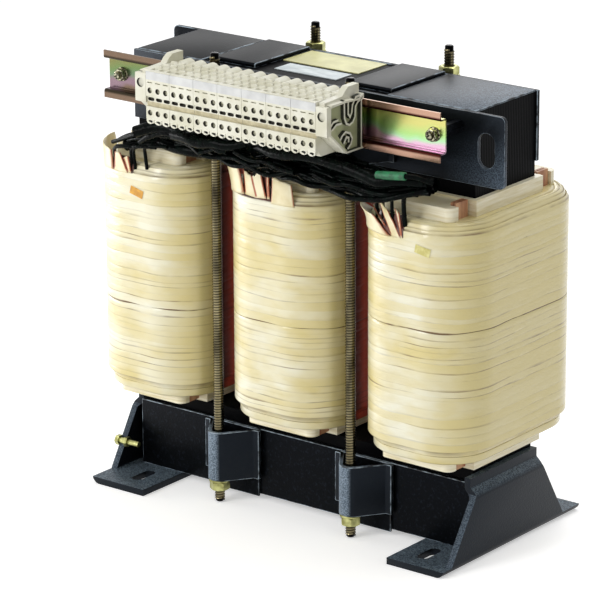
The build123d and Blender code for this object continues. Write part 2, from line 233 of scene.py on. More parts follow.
# the painted sheen's two tones, then ranges of (what is measured, axis, where the sheen is nil, where it is full)
paintedSheenRanges = {
    "hats": ("#4A5661", "#8593A1", [("Object", "Y", (coreY - 50) * mm, (coreY - 56) * mm),
                                    ("Normal", "X", 0.55, 0.25)]),
    "cover": ("#232A31", "#667482", [("Object", "X", 80 * mm, 150 * mm), ("Normal", "Z", 0.5, 0.9)]),
    "clamp": ("#1A1F25", "#566370", [("Object", "X", 125 * mm, 176 * mm), ("Object", "Z", 312 * mm, 276 * mm)]),
    "feet": ("#28313A", "#687681", [("Normal", "Z", 0.3, 0.8)]),
}
sheenPainted = {}
for key, (low, high, ranges) in paintedSheenRanges.items():
    sheenPainted[key], tree, shader, place, (speck, peel) = newMaterial(
        key + "PaintedSheenEnamel", {"Roughness": sheenLook["roughness"], "Specular IOR Level": sheenLook["specular"],
                                "Specular Tint": sheenLook["tint"]},
        [(sheenLook["speckMm"], 2, even), (sheenLook["peelMm"], 2, even)])
    share = 1.0
    for source, axis, nil, full in ranges:
        parts = addNode(tree, "SeparateXYZ", {0: place.outputs[source]})
        part = addNode(tree, "MapRange", {0: parts.outputs[axis], 1: nil, 2: full})
        share = addNode(tree, "Math", {0: share, 1: part.outputs[0]}, operation="MULTIPLY").outputs[0]
    speckTone = addNode(tree, "ValToRGB", {"Fac": speck}, [(0.4, low), (0.62, high)])
    sheenTone = addNode(tree, "Mix", {0: share, 6: sheenLook["black"], 7: speckTone.outputs["Color"]},
                        data_type="RGBA")
    bump = addNode(tree, "Bump", {"Height": peel, "Distance": sheenLook["peelDepth"] * mm,
                                  "Strength": sheenLook["peelStrength"]})
    feed(tree, shader, {"Base Color": sheenTone.outputs[2], "Normal": bump.outputs["Normal"]})

# painted highlight along the broken cut edges: a pale blue-grey line that draws every sheet, in place of the light
# the edges catch
paintedEdgeHighlight = cloudedMaterial("paintedEdgeHighlightEnamel", {"Roughness": 0.35, "Specular IOR Level": 0.4},
                             (7, 3, even), [(0.38, "#1B2025"), (0.58, "#93A2AE")])

# cotton tape wound by hand and soaked in clear varnish: cream, amber where the varnish pools, glossy in ripples,
# with brown edges, and a painted amber shade on faces turned towards +X; the flanks between two coils get a painted
# red shade, and a near black painted shadow behind the rods
tapeLook = {"cream": "#E9E6D0", "amber": "#D6C684", "edge": "#6E5229", "red": "#C4543A", "redEdge": "#7E2E20",
            "shade": "#0B0706", "roughness": 0.42, "coat": 0.8, "coatRoughness": 0.16, "poolMm": 45,
            "edgeFadeMm": 22, "rippleMm": 6, "threadMm": 1.1, "threadShare": 0.12, "depth": 0.9, "strength": 0.65}
varnishedTape, tree, shader, place, (pool, fade, ripple, thread) = newMaterial(
    "varnishedCottonTape", {"Roughness": tapeLook["roughness"], "IOR": 1.5, "Coat Weight": tapeLook["coat"],
                            "Coat Roughness": tapeLook["coatRoughness"]},
    [(tapeLook["poolMm"], 3, (1, 1, 0.45)), (tapeLook["edgeFadeMm"], 2, even),
     (tapeLook["rippleMm"], 4, (1.6, 1.6, 0.5)), (tapeLook["threadMm"], 1, (3, 3, 0.6))])
turnToneAndSideShade, tapeEdge, betweenCoils, flankShade = (
    addNode(tree, "Attribute", attribute_name=key).outputs["Fac"]
    for key in ("turnToneAndSideShade", "tapeEdge", "betweenCoils", "flankShade"))
poolTone = addNode(tree, "ValToRGB", {"Fac": pool}, [(0.36, tapeLook["cream"]), (0.68, tapeLook["amber"])])
fadeRange = addNode(tree, "MapRange", {0: fade, 1: 0.35, 2: 0.7, 3: 0.1, 4: 0.95})
edgeShare = addNode(tree, "Math", {0: tapeEdge, 1: fadeRange.outputs[0]}, operation="MULTIPLY").outputs[0]
tonedAndSideShaded = addNode(tree, "Mix", {0: turnToneAndSideShade, 6: poolTone.outputs["Color"], 7: tapeLook["amber"]}, data_type="RGBA")
edged = addNode(tree, "Mix", {0: edgeShare, 6: tonedAndSideShaded.outputs[2], 7: tapeLook["edge"]}, data_type="RGBA")
# painted red shade on the flanks between coils, with a near black painted shadow in front
paintedFlankReds = addNode(tree, "Mix", {0: edgeShare, 6: tapeLook["red"], 7: tapeLook["redEdge"]}, data_type="RGBA")
flank = addNode(tree, "Mix", {0: flankShade, 6: paintedFlankReds.outputs[2], 7: tapeLook["shade"]}, data_type="RGBA")
tapeTone = addNode(tree, "Mix", {0: betweenCoils, 6: edged.outputs[2], 7: flank.outputs[2]}, data_type="RGBA")
height = addNode(tree, "Math", {0: thread, 1: tapeLook["threadShare"], 2: ripple}, operation="MULTIPLY_ADD")
bump = addNode(tree, "Bump", {"Height": height.outputs[0], "Distance": tapeLook["depth"] * mm,
                              "Strength": tapeLook["strength"]})
feed(tree, shader, {"Base Color": tapeTone.outputs[2], "Normal": bump.outputs["Normal"]})

# varnished pressboard: pale, dense board with faint layers along its cut edge
pressboard = cloudedMaterial(
    "varnishedPressboard", {"Roughness": 0.45, "IOR": 1.5, "Coat Weight": 0.4, "Coat Roughness": 0.15},
    (14, 4, (2.0, 2.0, 0.14)), [(0.35, "#DCCFA4"), (0.62, "#F0E9CF")], relief=(0.5, 0.4))
# the same board seen edge-on and dark from varnish: the duct boards in the corners of the collars
ductBoard = cloudedMaterial("brownDuctBoard", {"Roughness": 0.5, "IOR": 1.5},
                            (6, 3, (1, 1, 4)), [(0.3, "#8E4E30"), (0.7, "#D2A47C")])

# zinc plated and yellow chromated steel: pale green-yellow, with soft cloudy tarnish
yellowZinc = cloudedMaterial("yellowChromatedZinc", {"Metallic": 1.0},
                             (5, 3, even), [(0.35, "#8E8C58"), (0.65, "#C9C98A")], roughRange=(0.22, 0.45))
# plain zinc plate on the small rail nuts: grey, with dark hollows
plainZinc = cloudedMaterial("plainZincSteel", {"Metallic": 1.0, "Roughness": 0.25},
                            (1.6, 2, even), [(0.4, "#24231D"), (0.62, "#B4B197")])
# zinc head of a clamping screw at the bottom of its hole: worn grey
screwZinc = cloudedMaterial("zincScrewHead", {"Metallic": 1.0, "Roughness": 0.4},
                            (2, 2, even), [(0.35, "#7A7868"), (0.7, "#C2C0AA")])

# rolled thread on plain steel, oiled: oily cream-gold tones on the crests, and the roots painted near black as shade
# in the grooves
threadSteel, tree, shader, place, (oil,) = newMaterial("oiledThreadedSteel", {"Metallic": 1.0, "Roughness": 0.22},
                                                       [(7, 3, (1, 1, 3))])
oilTone = addNode(tree, "ValToRGB", {"Fac": oil}, [(0.3, "#4E4736"), (0.75, "#A39875")])
crest = addNode(tree, "Attribute", attribute_name="threadCrest")
threadToneWithRootShade = addNode(tree, "Mix", {0: crest.outputs["Fac"], 6: "#050505", 7: oilTone.outputs["Color"]},
                     data_type="RGBA")
feed(tree, shader, {"Base Color": threadToneWithRootShade.outputs[2]})

# rainbow chromate on the rolled rail: green above, rose below, copper on the lips, a painted red-brown shade in the
# inner corners, and dull towards the left end; heights and depths in mm
railLook = {"low": 300.5, "high": 325.5, "middle": 313, "lipDepth": 73.6, "webDepth": 70.5,
            "cornerFrom": 14.2, "cornerTo": 13.0, "dullFrom": -60, "dullTo": -100, "dullShare": 0.72,
            "greenTop": "#C2BE74", "green": "#A2C97C", "gold": "#A6CFA2", "rose": "#D3ACC3",
            "copper": "#B08C78", "corner": "#3A1712", "dull": "#3B3A2E", "driftMm": 40, "drift": 0.3,
            "scuffMm": 3, "scuffDepth": 0.05, "scuffStrength": 0.3}
railChromate, tree, shader, place, (drift, scuff) = newMaterial(
    "rainbowChromatedSteel", {"Metallic": 1.0, "Roughness": 0.24},
    [(railLook["driftMm"], 2, even), (railLook["scuffMm"], 2, (6, 1, 1))])
parts = addNode(tree, "SeparateXYZ", {0: place.outputs["Object"]}).outputs
rise = addNode(tree, "MapRange", {0: parts["Z"], 1: railLook["low"] * mm, 2: railLook["high"] * mm})
driftRange = addNode(tree, "MapRange", {0: drift, 1: 0.3, 2: 0.7, 3: -railLook["drift"], 4: railLook["drift"]})
hue = addNode(tree, "Math", {0: rise.outputs[0], 1: driftRange.outputs[0]}, operation="ADD")
webTone = addNode(tree, "ValToRGB", {"Fac": hue.outputs[0]}, [
    (0.0, railLook["copper"]), (0.14, railLook["rose"]), (0.34, railLook["rose"]), (0.5, railLook["gold"]),
    (0.68, railLook["green"]), (1.0, railLook["greenTop"])])
deep = addNode(tree, "MapRange", {0: parts["Y"], 1: (coreY - railLook["lipDepth"]) * mm,
                                  2: (coreY - railLook["webDepth"]) * mm})
centred = addNode(tree, "Math", {0: parts["Z"], 1: railLook["middle"] * mm}, operation="SUBTRACT")
fromMiddle = addNode(tree, "Math", {0: centred.outputs[0]}, operation="ABSOLUTE")
# the inner corners of the lips get a painted red-brown shade
corner = addNode(tree, "MapRange", {0: fromMiddle.outputs[0], 1: railLook["cornerFrom"] * mm,
                                    2: railLook["cornerTo"] * mm})
dulled = addNode(tree, "MapRange", {0: parts["X"], 1: railLook["dullFrom"] * mm, 2: railLook["dullTo"] * mm,
                                    4: railLook["dullShare"]})
lipToneWithCornerShade = addNode(tree, "Mix", {0: corner.outputs[0], 6: railLook["copper"], 7: railLook["corner"]},
                  data_type="RGBA")
clean = addNode(tree, "Mix", {0: deep.outputs[0], 6: lipToneWithCornerShade.outputs[2], 7: webTone.outputs["Color"]},
                data_type="RGBA")
railTone = addNode(tree, "Mix", {0: dulled.outputs[0], 6: clean.outputs[2], 7: railLook["dull"]}, data_type="RGBA")
bump = addNode(tree, "Bump", {"Height": scuff, "Distance": railLook["scuffDepth"] * mm,
                              "Strength": railLook["scuffStrength"]})
feed(tree, shader, {"Base Color": railTone.outputs[2], "Normal": bump.outputs["Normal"]})

# moulded polyamide of the terminals: warm ivory, satin from a spark-eroded mould
ivory = cloudedMaterial("mouldedIvoryPolyamide", {"Roughness": 0.42, "IOR": 1.53},
                        (18, 2, even), [(0.35, "#CFCCB6"), (0.6, "#DEDCCC")], relief=(0.04, 0.3, (0.8, 1, even)))
# the same moulding on the ribbed sides of the end brackets, painted olive as shade on faces turned from the light
sideShadeIvory = cloudedMaterial("paintedSideShadePolyamide", {"Roughness": 0.45, "IOR": 1.53},
                        (12, 2, even), [(0.35, "#A3A680"), (0.65, "#B7BA92")])
# tan inlay in the channel between the two rows of holes
channelTan = cloudedMaterial("tanChannelPolyamide", {"Roughness": 0.5, "IOR": 1.53},
                             (4, 3, even), [(0.3, "#A69B78"), (0.7, "#C9BF9C")])
# moulding in shade: brown-black inside a hole, grey in a slot, olive-black on the flanks of a bracket's ribs
holeShade, slotGrey, ribShade = (
    cloudedMaterial(name, {"Roughness": roughness}, (2, 2, even), [(0.3, low), (0.7, high)])
    for name, roughness, low, high in (("shadedHoleWall", 0.7, "#1B1914", "#3A362A"),
                                       ("shadedIvoryRecess", 0.6, "#A9A78E", "#C6C3A8"),
                                       ("shadedRibFlank", 0.7, "#12130C", "#2E3020")))
# white marker strip with a cold tint
markerWhite = cloudedMaterial("whiteMarkerPolyamide", {"Roughness": 0.45, "IOR": 1.53},
                              (10, 2, even), [(0.35, "#C4C5C4"), (0.65, "#D6D7D5")])

# bare foil labels: matt yellow, and matt white with a worn grey tint
yellowFoil = cloudedMaterial("bareYellowFoil", {"Roughness": 0.4, "IOR": 1.5},
                             (16, 4, even), [(0.35, "#BDB97E"), (0.65, "#D8D59A")])
whiteFoil = cloudedMaterial("bareWhiteFoil", {"Roughness": 0.4, "IOR": 1.5},
                            (5, 3, (3, 1, 1)), [(0.35, "#AEB9BC"), (0.65, "#D3DCDD")])
# dyed paper tags, and the green sleeve: mottled where varnish has soaked in
tagPaper = {key: cloudedMaterial(key + "PaperTag", {"Roughness": 0.5, "IOR": 1.5}, (4, 3, even),
                                 [(0.35, low), (0.65, high)])
            for key, low, high in (("orange", "#C58A2A", "#E0A93C"), ("pale", "#C9BF72", "#E6DF9E"),
                                   ("green", "#0E4A2C", "#207A4C"))}

# woven sleeving drowned in varnish: black and wet, with lumps that catch small lights
blackSleeve = cloudedMaterial("varnishedBlackSleeving", {"Roughness": 0.2, "IOR": 1.5, "Specular IOR Level": 0.04},
                              (4, 3, even), [(0.4, "#030404"), (0.8, "#0A1410")], relief=(0.8, 0.6))

# core sheets in black varnish, laid edge to edge: fine lines along the stack, drawn at 2 mm so that they show
coreLook = {"sheetMm": 2.0, "dark": "#020203", "line": "#090A0C", "depth": 0.2, "strength": 0.5}
lamination, tree, shader, place, made = newMaterial("varnishedCoreSheets", {
    "Roughness": 0.42, "IOR": 1.5, "Specular IOR Level": 0.03})
sheets = addNode(tree, "TexWave", {"Vector": place.outputs["Object"], "Distortion": 0.6, "Detail": 1.0,
                                   "Scale": math.pi / (10 * coreLook["sheetMm"] * mm)},
                 wave_type="BANDS", bands_direction="Y").outputs["Fac"]
sheetTone = addNode(tree, "ValToRGB", {"Fac": sheets}, [(0.3, coreLook["dark"]), (0.95, coreLook["line"])])
bump = addNode(tree, "Bump", {"Height": sheets, "Distance": coreLook["depth"] * mm,
                              "Strength": coreLook["strength"]})
feed(tree, shader, {"Base Color": sheetTone.outputs["Color"], "Normal": bump.outputs["Normal"]})
print("materials made")

# CAD nodes that keep their shape, with their materials; the rest of the sheet steel is replaced below
carried = {
    "din_rail": railChromate, "earth_bolt": yellowZinc, "marker_strips": markerWhite, "rating_plate": yellowFoil,
    "rating_strip": whiteFoil, "duct_slats": ductBoard, "coil_former": pressboard, "core_": lamination,
}
for name, node in nodes.items():
    paint = next((chosen for start, chosen in carried.items() if name.startswith(start)), blackEnamel)
    node.data.materials.clear()
    node.data.materials.append(paint)


# sheet steel pieces: the same shapes with their cut edges broken, so that the edges catch the light
edgeBreak = {"width": 0.55, "segments": 2, "roundness": 0.6, "sharpAngle": 28, "flatAngle": 0.5, "weldMm": 0.01}
sheetNodes = [name for name in nodes if name.startswith((
    "top_clamp", "bottom_clamp", "foot_", "top_hats", "bottom_hats", "cross_strap", "yoke_cover", "hat_plates"))]
# which sheet pieces get the painted sheen, and which of its ranges
sheenOn = {"top_hats": "hats", "bottom_hats": "hats", "yoke_cover_right": "cover", "top_clamp_front": "clamp",
           "foot_": "feet"}


def softened(name):
    form = bmesh.new()
    form.from_mesh(nodes[name].data)
    bmesh.ops.remove_doubles(form, verts=form.verts[:], dist=edgeBreak["weldMm"] * mm)
    bmesh.ops.dissolve_limit(form, angle_limit=math.radians(edgeBreak["flatAngle"]), verts=form.verts[:],
                             edges=form.edges[:])
    sharp = [edge for edge in form.edges
             if len(edge.link_faces) == 2 and edge.calc_face_angle(0) > math.radians(edgeBreak["sharpAngle"])]
    broken = bmesh.ops.bevel(form, geom=sharp, offset=edgeBreak["width"] * mm, segments=edgeBreak["segments"],
                             profile=edgeBreak["roundness"], affect="EDGES", clamp_overlap=True)
    # the broken edges get the pale painted edge highlight
    for face in broken["faces"]:
        face.material_index = 1
    bmesh.ops.triangulate(form, faces=[face for face in form.faces if len(face.verts) > 4])
    return form


for name in sheetNodes:
    paint = next((sheenPainted[key] for start, key in sheenOn.items() if name.startswith(start)), blackEnamel)
    newPiece(name + "Sheet", softened(name), [paint, paintedEdgeHighlight], [name], sharpAngle=50)
print("sheet steel softened:", len(sheetNodes))


# coils: rows of tape wound round a rounded former, with paper layers standing out at both ends
coilShape = {
    "centres": {"left": -120, "middle": 0, "right": 120}, "halfX": 49.5, "halfY": 77.5, "radius": 38,
    "leastRadius": 4, "bottom": 87.5, "top": 244, "holeX": 34.4, "holeY": 40.4, "cornerSteps": 18,
    "frontSteps": 14, "flankSteps": 8,
    "turnPitch": 5.0, "turnDrift": 2.0, "lastTurn": 1.4, "edgeWave": 1.3, "edgeLip": 0.2,
    # the side tone below is a painted amber shade on faces turned towards +X
    "edgeMarks": (0.1, 0.3, 0.55, 0.9), "toneSpread": 0.55, "paintedSideShade": 0.85,
    # the end of a roll of tape is a stronger, darker edge
    "seams": {"left": 150, "middle": 158, "right": 177}, "seamMark": 3.0, "seamLip": 0.6,
    # the painted red shade on the flanks between coils starts where they face each other, with a near black painted
    # shadow in front, behind the rods
    "flankFrom": 0.985, "flankTop": 249, "shadeTo": -31, "shadeFade": 4,
    # layers below the winding, from its bottom: (rise, inset, edge mark, tone, wave); no inset is the bore
    "lowLayers": [(-10, None, 0, 0.2, 0), (-10, 4.6, 0.3, 0.1, 0), (-9.2, 4, 0, 0.1, 0), (-4.6, 4, 0, 0.1, 0.3),
                  (-4.4, 4.5, 1, 0.1, 0.3), (-4.1, 4, 0, 0.1, 0.3), (-0.4, 4, 0.9, 0.1, 0),
                  (-0.2, 1.2, 1, 0.2, 0)],
    # and above it, from its top: (rise, inset, edge mark, tone, wave)
    "topLayers": [(0.2, 0.9, 1, 0, 0.2), (2.0, 1.3, 0, 0, 0.2), (2.6, 1.9, 0, 0, 0.6), (1.6, 2.4, 1, 0, 0.6),
                  (3.8, 3.0, 0, 0, 0.6), (5.4, 3.6, 0, 0, 0.6), (4.6, 4.2, 1, 0, 0.6), (6.4, 4.9, 0, 0, 0.6),
                  (6.9, 6.5, 0, 0, 0.6), (6.2, 7.1, 1, 0, 0.6), (7.0, 7.8, 0, 0, 0.6), (7.0, 10.4, 0, 0, 0.6),
                  (6.5, 10.9, 0.8, 0, 0.6), (7.0, 11.6, 0, 0, 0.6), (7.0, None, 0, 0.3, 0)],
}


def roundedLoop(shape, inset=0.0):
    # points and outward normals, anticlockwise from above, starting at the right end of the front
    halfX, halfY = shape["halfX"] - inset, shape["halfY"] - inset
    radius = max(shape["radius"] - inset, shape["leastRadius"])
    corners = [(halfX - radius, -halfY + radius, -90), (halfX - radius, halfY - radius, 0),
               (-halfX + radius, halfY - radius, 90), (-halfX + radius, -halfY + radius, 180)]
    steps = [shape["frontSteps"], shape["flankSteps"]] * 2
    loop = []
    for number, (x, y, start) in enumerate(corners):
        for step in range(shape["cornerSteps"]):
            angle = math.radians(start + 90 * step / shape["cornerSteps"])
            nx, ny = math.cos(angle), math.sin(angle)
            loop.append((x + radius * nx, y + radius * ny, nx, ny))
        nextX, nextY, nextStart = corners[(number + 1) % 4]
        normal = (math.cos(math.radians(nextStart)), math.sin(math.radians(nextStart)))
        first = (x + radius * normal[0], y + radius * normal[1])
        last = (nextX + radius * normal[0], nextY + radius * normal[1])
        for step in range(steps[number]):
            share = step / steps[number]
            loop.append((first[0] + (last[0] - first[0]) * share, first[1] + (last[1] - first[1]) * share, *normal))
    return loop


def holeLoop(shape, loop):
    # the same number of points on the rectangle of the former
    points = []
    for x, y, *_ in loop:
        scale = max(abs(x) / shape["holeX"], abs(y) / shape["holeY"])
        points.append((x / scale, y / scale))
    return points


def tapeTurns(shape, dice):
    # lower edge of each turn of tape, from the bottom to the top
    turns = [shape["bottom"]]
    while turns[-1] < shape["top"] - shape["lastTurn"] * shape["turnPitch"]:
        turns.append(turns[-1] + shape["turnPitch"] + dice.uniform(-1, 1) * shape["turnDrift"])
    return turns + [shape["top"]]


def windCoil(side, centre, seed):
    shape = coilShape
    dice = random.Random(seed)
    outer = roundedLoop(shape)
    inner = holeLoop(shape, outer)
    turns = tapeTurns(shape, dice)
    # each row is (height, inset, edge mark, tone, how much the edge waves)
    rows = [(shape["bottom"] + rise, *rest) for rise, *rest in shape["lowLayers"]]
    for low, high in zip(turns[:-1], turns[1:]):
        tone = dice.random() ** 2 * shape["toneSpread"]
        lip = shape["edgeLip"] * dice.uniform(0.5, 1.0)
        mark = dice.choice(shape["edgeMarks"])
        if low <= shape["seams"][side] < high:
            mark, lip = shape["seamMark"], shape["seamLip"]
        wave = shape["edgeWave"] if low > shape["bottom"] else 0
        rows += [(low, lip, mark, tone, wave), (low + 0.4, 0.04, mark, tone, wave),
                 (low + 0.8, 0.02, 0, tone, wave), ((low + high) / 2, 0.05, 0, tone, wave),
                 (high - 0.3, 0.09, 0, tone, 0 if high == shape["top"] else wave)]
    rows += [(shape["top"] + rise, *rest) for rise, *rest in shape["topLayers"]]
    form = bmesh.new()
    for key in ("tapeEdge", "turnToneAndSideShade", "betweenCoils", "flankShade"):
        form.verts.layers.float.new(key)
    marks = form.verts.layers.float
    rings = []
    for number, (z, inset, mark, tone, wave) in enumerate(rows):
        if inset is not None:
            loop = roundedLoop(shape, inset) if inset > 2 else outer
        ring = []
        for index, (x, y, nx, ny) in enumerate(outer):
            if inset is None:
                px, py = inner[index]
            elif inset > 2:
                px, py = loop[index][:2]
            else:
                px, py = x - nx * inset, y - ny * inset
            shiver = noise.noise(Vector((x * 0.035, y * 0.035, (number // 5) * 2.7 + seed))) * wave
            vert = form.verts.new(at(centre + px, py, z + shiver))
            facesCoil = (nx > 0 and side != "right") or (nx < 0 and side != "left")
            wound = rows[0][0] < z < shape["flankTop"]
            vert[marks["tapeEdge"]] = mark
            # faces turned towards +X get the painted amber side shade on top of the turn's own tone
            vert[marks["turnToneAndSideShade"]] = min(1.0, tone + shape["paintedSideShade"] * max(0.0, nx) ** 1.5)
            # flanks that face a neighbouring coil: painted red shade, and towards the front a near black painted
            # shadow of the rods
            if facesCoil and abs(nx) > 0.55:
                vert[marks["betweenCoils"]] = min(1, max(0, (abs(nx) - shape["flankFrom"]) * 120)) if wound else 0
                vert[marks["flankShade"]] = min(1, max(0, (shape["shadeTo"] - y) / shape["shadeFade"]))
            ring.append(vert)
        rings.append(ring)
    skin(form, rings, closed=True)   # the bore closes the form between its two ends
    newPiece("tapeWinding_" + side, form, [varnishedTape], ["coil_" + side], sharpAngle=60)


for seed, (side, centre) in enumerate(coilShape["centres"].items()):
    windCoil(side, centre, seed + 3)
print("coils wound")


# paper wraps that stand up at the front left of each coil, slit where the leads come out
def onCoil(shape, along, out=0.0):
    # place on the coil's outline, measured along it from the middle of the front, towards +X
    radius = shape["radius"]
    straight = shape["halfX"] - radius
    sign = 1 if along >= 0 else -1
    run = abs(along)
    if run <= straight:
        return sign * run, -shape["halfY"] - out
    angle = (run - straight) / radius
    if angle <= math.pi / 2:
        reach = radius + out
        return sign * (straight + reach * math.sin(angle)), -shape["halfY"] + radius - reach * math.cos(angle)
    return sign * (shape["halfX"] + out), -shape["halfY"] + radius + (run - straight - radius * math.pi / 2)


# each petal is (along, height) at its lower left, upper left, upper right and lower right, then its top's flare
wrapPetals = {
    "left": [((-74, 240), (-70, 259), (-23, 258), (-21, 243), 0.5),
             ((-20, 243), (-18.5, 258), (-13, 257), (-6.4, 243), 0.4),
             ((-6.2, 243.5), (-9.5, 254), (-5.2, 256.5), (-3.4, 244), 0.9)],
    "middle": [((-74, 240), (-56, 265), (-22, 264.5), (-19.2, 246), 5.5),
               ((-18.6, 246), (-20, 264), (-12, 260), (-8, 245), 0.6),
               ((-8.2, 245), (-12, 260), (-4.5, 266), (0.6, 246), 0.5),
               ((1.4, 246), (1.0, 266), (3.2, 265), (3.4, 246), 0.9),
               ((5, 243), (6.2, 263), (22, 259), (24, 243), 0.1)],
    "right": [((-74, 238), (-54, 252.5), (-26, 251), (-11, 238), 5.0),
              ((-11.6, 240), (-29, 259), (-24.5, 254), (-10.4, 239), 1.5),
              ((-10, 238), (-22, 263), (-13, 256), (-2.6, 238), 0.8),
              ((-2.4, 238.5), (-7, 259), (-3.6, 256), (-1.2, 238.5), 1.2)],
}
wrapLook = {"columns": 14, "rows": 9, "proud": 0.35, "thickness": 0.7, "rim": 0.9, "ragged": 0.9, "buckle": 0.35,
            "warm": "#DCCB95", "pale": "#EEE4C0", "torn": "#A5532A"}
# insulating paper torn by hand and varnished: pale, with edges that soak up more varnish and turn orange-brown
wrapPaper, tree, shader, place, (patch, crease) = newMaterial(
    "tornVarnishedPaper", {"Roughness": 0.45, "IOR": 1.5, "Coat Weight": 0.4, "Coat Roughness": 0.14},
    [(16, 3, even), (6, 3, even)])
paperTone = addNode(tree, "ValToRGB", {"Fac": patch}, [(0.35, wrapLook["warm"]), (0.6, wrapLook["pale"])])
tornRim = addNode(tree, "Attribute", attribute_name="tornRim")
paperColour = addNode(tree, "Mix", {0: tornRim.outputs["Fac"], 6: paperTone.outputs["Color"], 7: wrapLook["torn"]},
                      data_type="RGBA")
bump = addNode(tree, "Bump", {"Height": crease, "Distance": 0.4 * mm, "Strength": 0.4})
feed(tree, shader, {"Base Color": paperColour.outputs[2], "Normal": bump.outputs["Normal"]})
# the inner wrap, dark red-brown, and darker still as painted shade deep in the slits
slitShadeBacking = cloudedMaterial("slitShadeRedBrownPaper", {"Roughness": 0.5, "IOR": 1.5, "Coat Weight": 0.3},
                             (7, 3, even), [(0.3, "#1E0905"), (0.75, "#642A15")])


def standPaper(side, centre, petals):
    look = wrapLook
    form = bmesh.new()
    tornRim = form.verts.layers.float.new("tornRim")
    for number, (lowLeft, topLeft, topRight, lowRight, flare) in enumerate(petals):
        grid = []
        for row in range(look["rows"] + 1):
            rise = row / look["rows"]
            left = Vector(lowLeft).lerp(Vector(topLeft), rise)
            rightPoint = Vector(lowRight).lerp(Vector(topRight), rise)
            width = abs(rightPoint.x - left.x)
            line = []
            for column in range(look["columns"] + 1):
                share = column / look["columns"]
                spot = left.lerp(rightPoint, share)
                ragged = noise.noise(Vector((spot.x * 0.5, number * 7.1, centre))) * look["ragged"] * rise
                away = look["proud"] + flare * rise * rise * (1 - 0.6 * share) + look["buckle"] * noise.noise(
                    Vector((spot.x * 0.15, spot.y * 0.1, number)))
                x, y = onCoil(coilShape, spot.x, away)
                vert = form.verts.new(at(centre + x, y, spot.y + ragged))
                nearSide = min(share, 1 - share) * width if number else (1 - share) * width
                vert[tornRim] = 1.0 if nearSide < look["rim"] and rise > 0.05 else 0.0
                line.append(vert)
            grid.append(line)
        skin(form, grid, ring=False)
    piece = newPiece("paperWraps_" + side, form, [wrapPaper], sharpAngle=70)
    solid = piece.modifiers.new("thickness", "SOLIDIFY")
    solid.thickness = look["thickness"] * mm
    solid.offset = -1


# a dark sheet laid under the slits, partly the red-brown inner wrap and partly painted shade of the slits' depth:
# lower and upper edge, then its run along the coil's outline
slits = {"left": (243.5, 255, -24, -2), "middle": (245, 262, -23, 5.5), "right": (238.5, 254, -30, -0.5)}
slitColumns = 24


def slitShadeSheet(side, centre, low, high, first, last):
    form = bmesh.new()
    lines = []
    for z, inset in ((low, -0.12), (244.5, -0.12), (245.5, 1.2), (high, 2.0)):
        line = []
        for column in range(slitColumns + 1):
            x, y = onCoil(coilShape, first + (last - first) * column / slitColumns, -inset)
            line.append(form.verts.new(at(centre + x, y, z)))
        lines.append(line)
    skin(form, lines, ring=False)
    newPiece("slitShadeSheet_" + side, form, [slitShadeBacking], sharpAngle=70)


for side, centre in coilShape["centres"].items():
    standPaper(side, centre, wrapPetals[side])
    slitShadeSheet(side, centre, *slits[side])
print("paper wraps stood up")


# bare paper tags stuck to two coils: places along the outline and up, lengths in mm, lean in degrees
coilTags = {
    "orangeTag": {"coil": "left", "along": 1.5, "height": 230.2, "length": 12.0, "width": 6.0, "lean": -14,
                  "paper": "orange"},
    "paleTag": {"coil": "right", "along": 15.5, "height": 232.2, "length": 12.0, "width": 6.0, "lean": -12,
                "paper": "pale"},
}
tagSteps, tagProud = 8, 0.35
for name, tag in coilTags.items():
    form = bmesh.new()
    turn = math.radians(tag["lean"])
    lines = []
    for row in (-1, 1):
        line = []
        for step in range(tagSteps + 1):
            local = Vector(((step / tagSteps - 0.5) * tag["length"], row * tag["width"] / 2))
            run = tag["along"] + local.x * math.cos(turn) - local.y * math.sin(turn)
            z = tag["height"] + local.x * math.sin(turn) + local.y * math.cos(turn)
            x, y = onCoil(coilShape, run, tagProud)
            line.append(form.verts.new(at(coilShape["centres"][tag["coil"]] + x, y, z)))
        lines.append(line)
    skin(form, lines, ring=False)
    newPiece(name, form, [tagPaper[tag["paper"]]])


# tie rods: a rolled helical thread from end to end, drawn coarser than M8 so that its turns show
rodShape = {"x": 60, "y": 58.5, "low": 0.6, "high": 338.5, "crest": 3.9, "root": 3.2, "pitch": 2.0, "sides": 14,
            "chamfer": 0.7}


def threadedRod(form, x, y, shape):
    sides, pitch = shape["sides"], shape["pitch"]
    total = int((shape["high"] - shape["low"] - 2 * pitch) / pitch * sides)
    crests, roots = [], []
    crestLayer = form.verts.layers.float["threadCrest"]
    for step in range(total):
        angle = 2 * math.pi * step / sides
        z = shape["low"] + pitch * (0.5 + step / sides)
        for line, radius, lift in ((crests, shape["crest"], 0), (roots, shape["root"], pitch / 2)):
            vert = form.verts.new(at(x + radius * math.cos(angle), y + radius * math.sin(angle), z + lift))
            # the roots are marked 0, which paints them with the grooves' shade
            vert[crestLayer] = 0.0 if lift else 1.0
            line.append(vert)
    for step in range(total - 1):
        form.faces.new((crests[step], crests[step + 1], roots[step + 1], roots[step]))
        if step + 1 + sides < total:
            form.faces.new((roots[step], roots[step + 1], crests[step + 1 + sides], crests[step + sides]))
    # a plain core closes the two ends
    end = shape["root"] - shape["chamfer"]
    rings = []
    for z, radius in ((shape["low"], end), (shape["low"] + shape["chamfer"], shape["root"]),
                      (shape["high"] - shape["chamfer"], shape["root"]), (shape["high"], end)):
        rings.append([form.verts.new(at(x + radius * math.cos(2 * math.pi * side / sides),
                                        y + radius * math.sin(2 * math.pi * side / sides), z))
                      for side in range(sides)])
    skin(form, rings)
    form.faces.new(rings[0][::-1])
    form.faces.new(rings[-1])


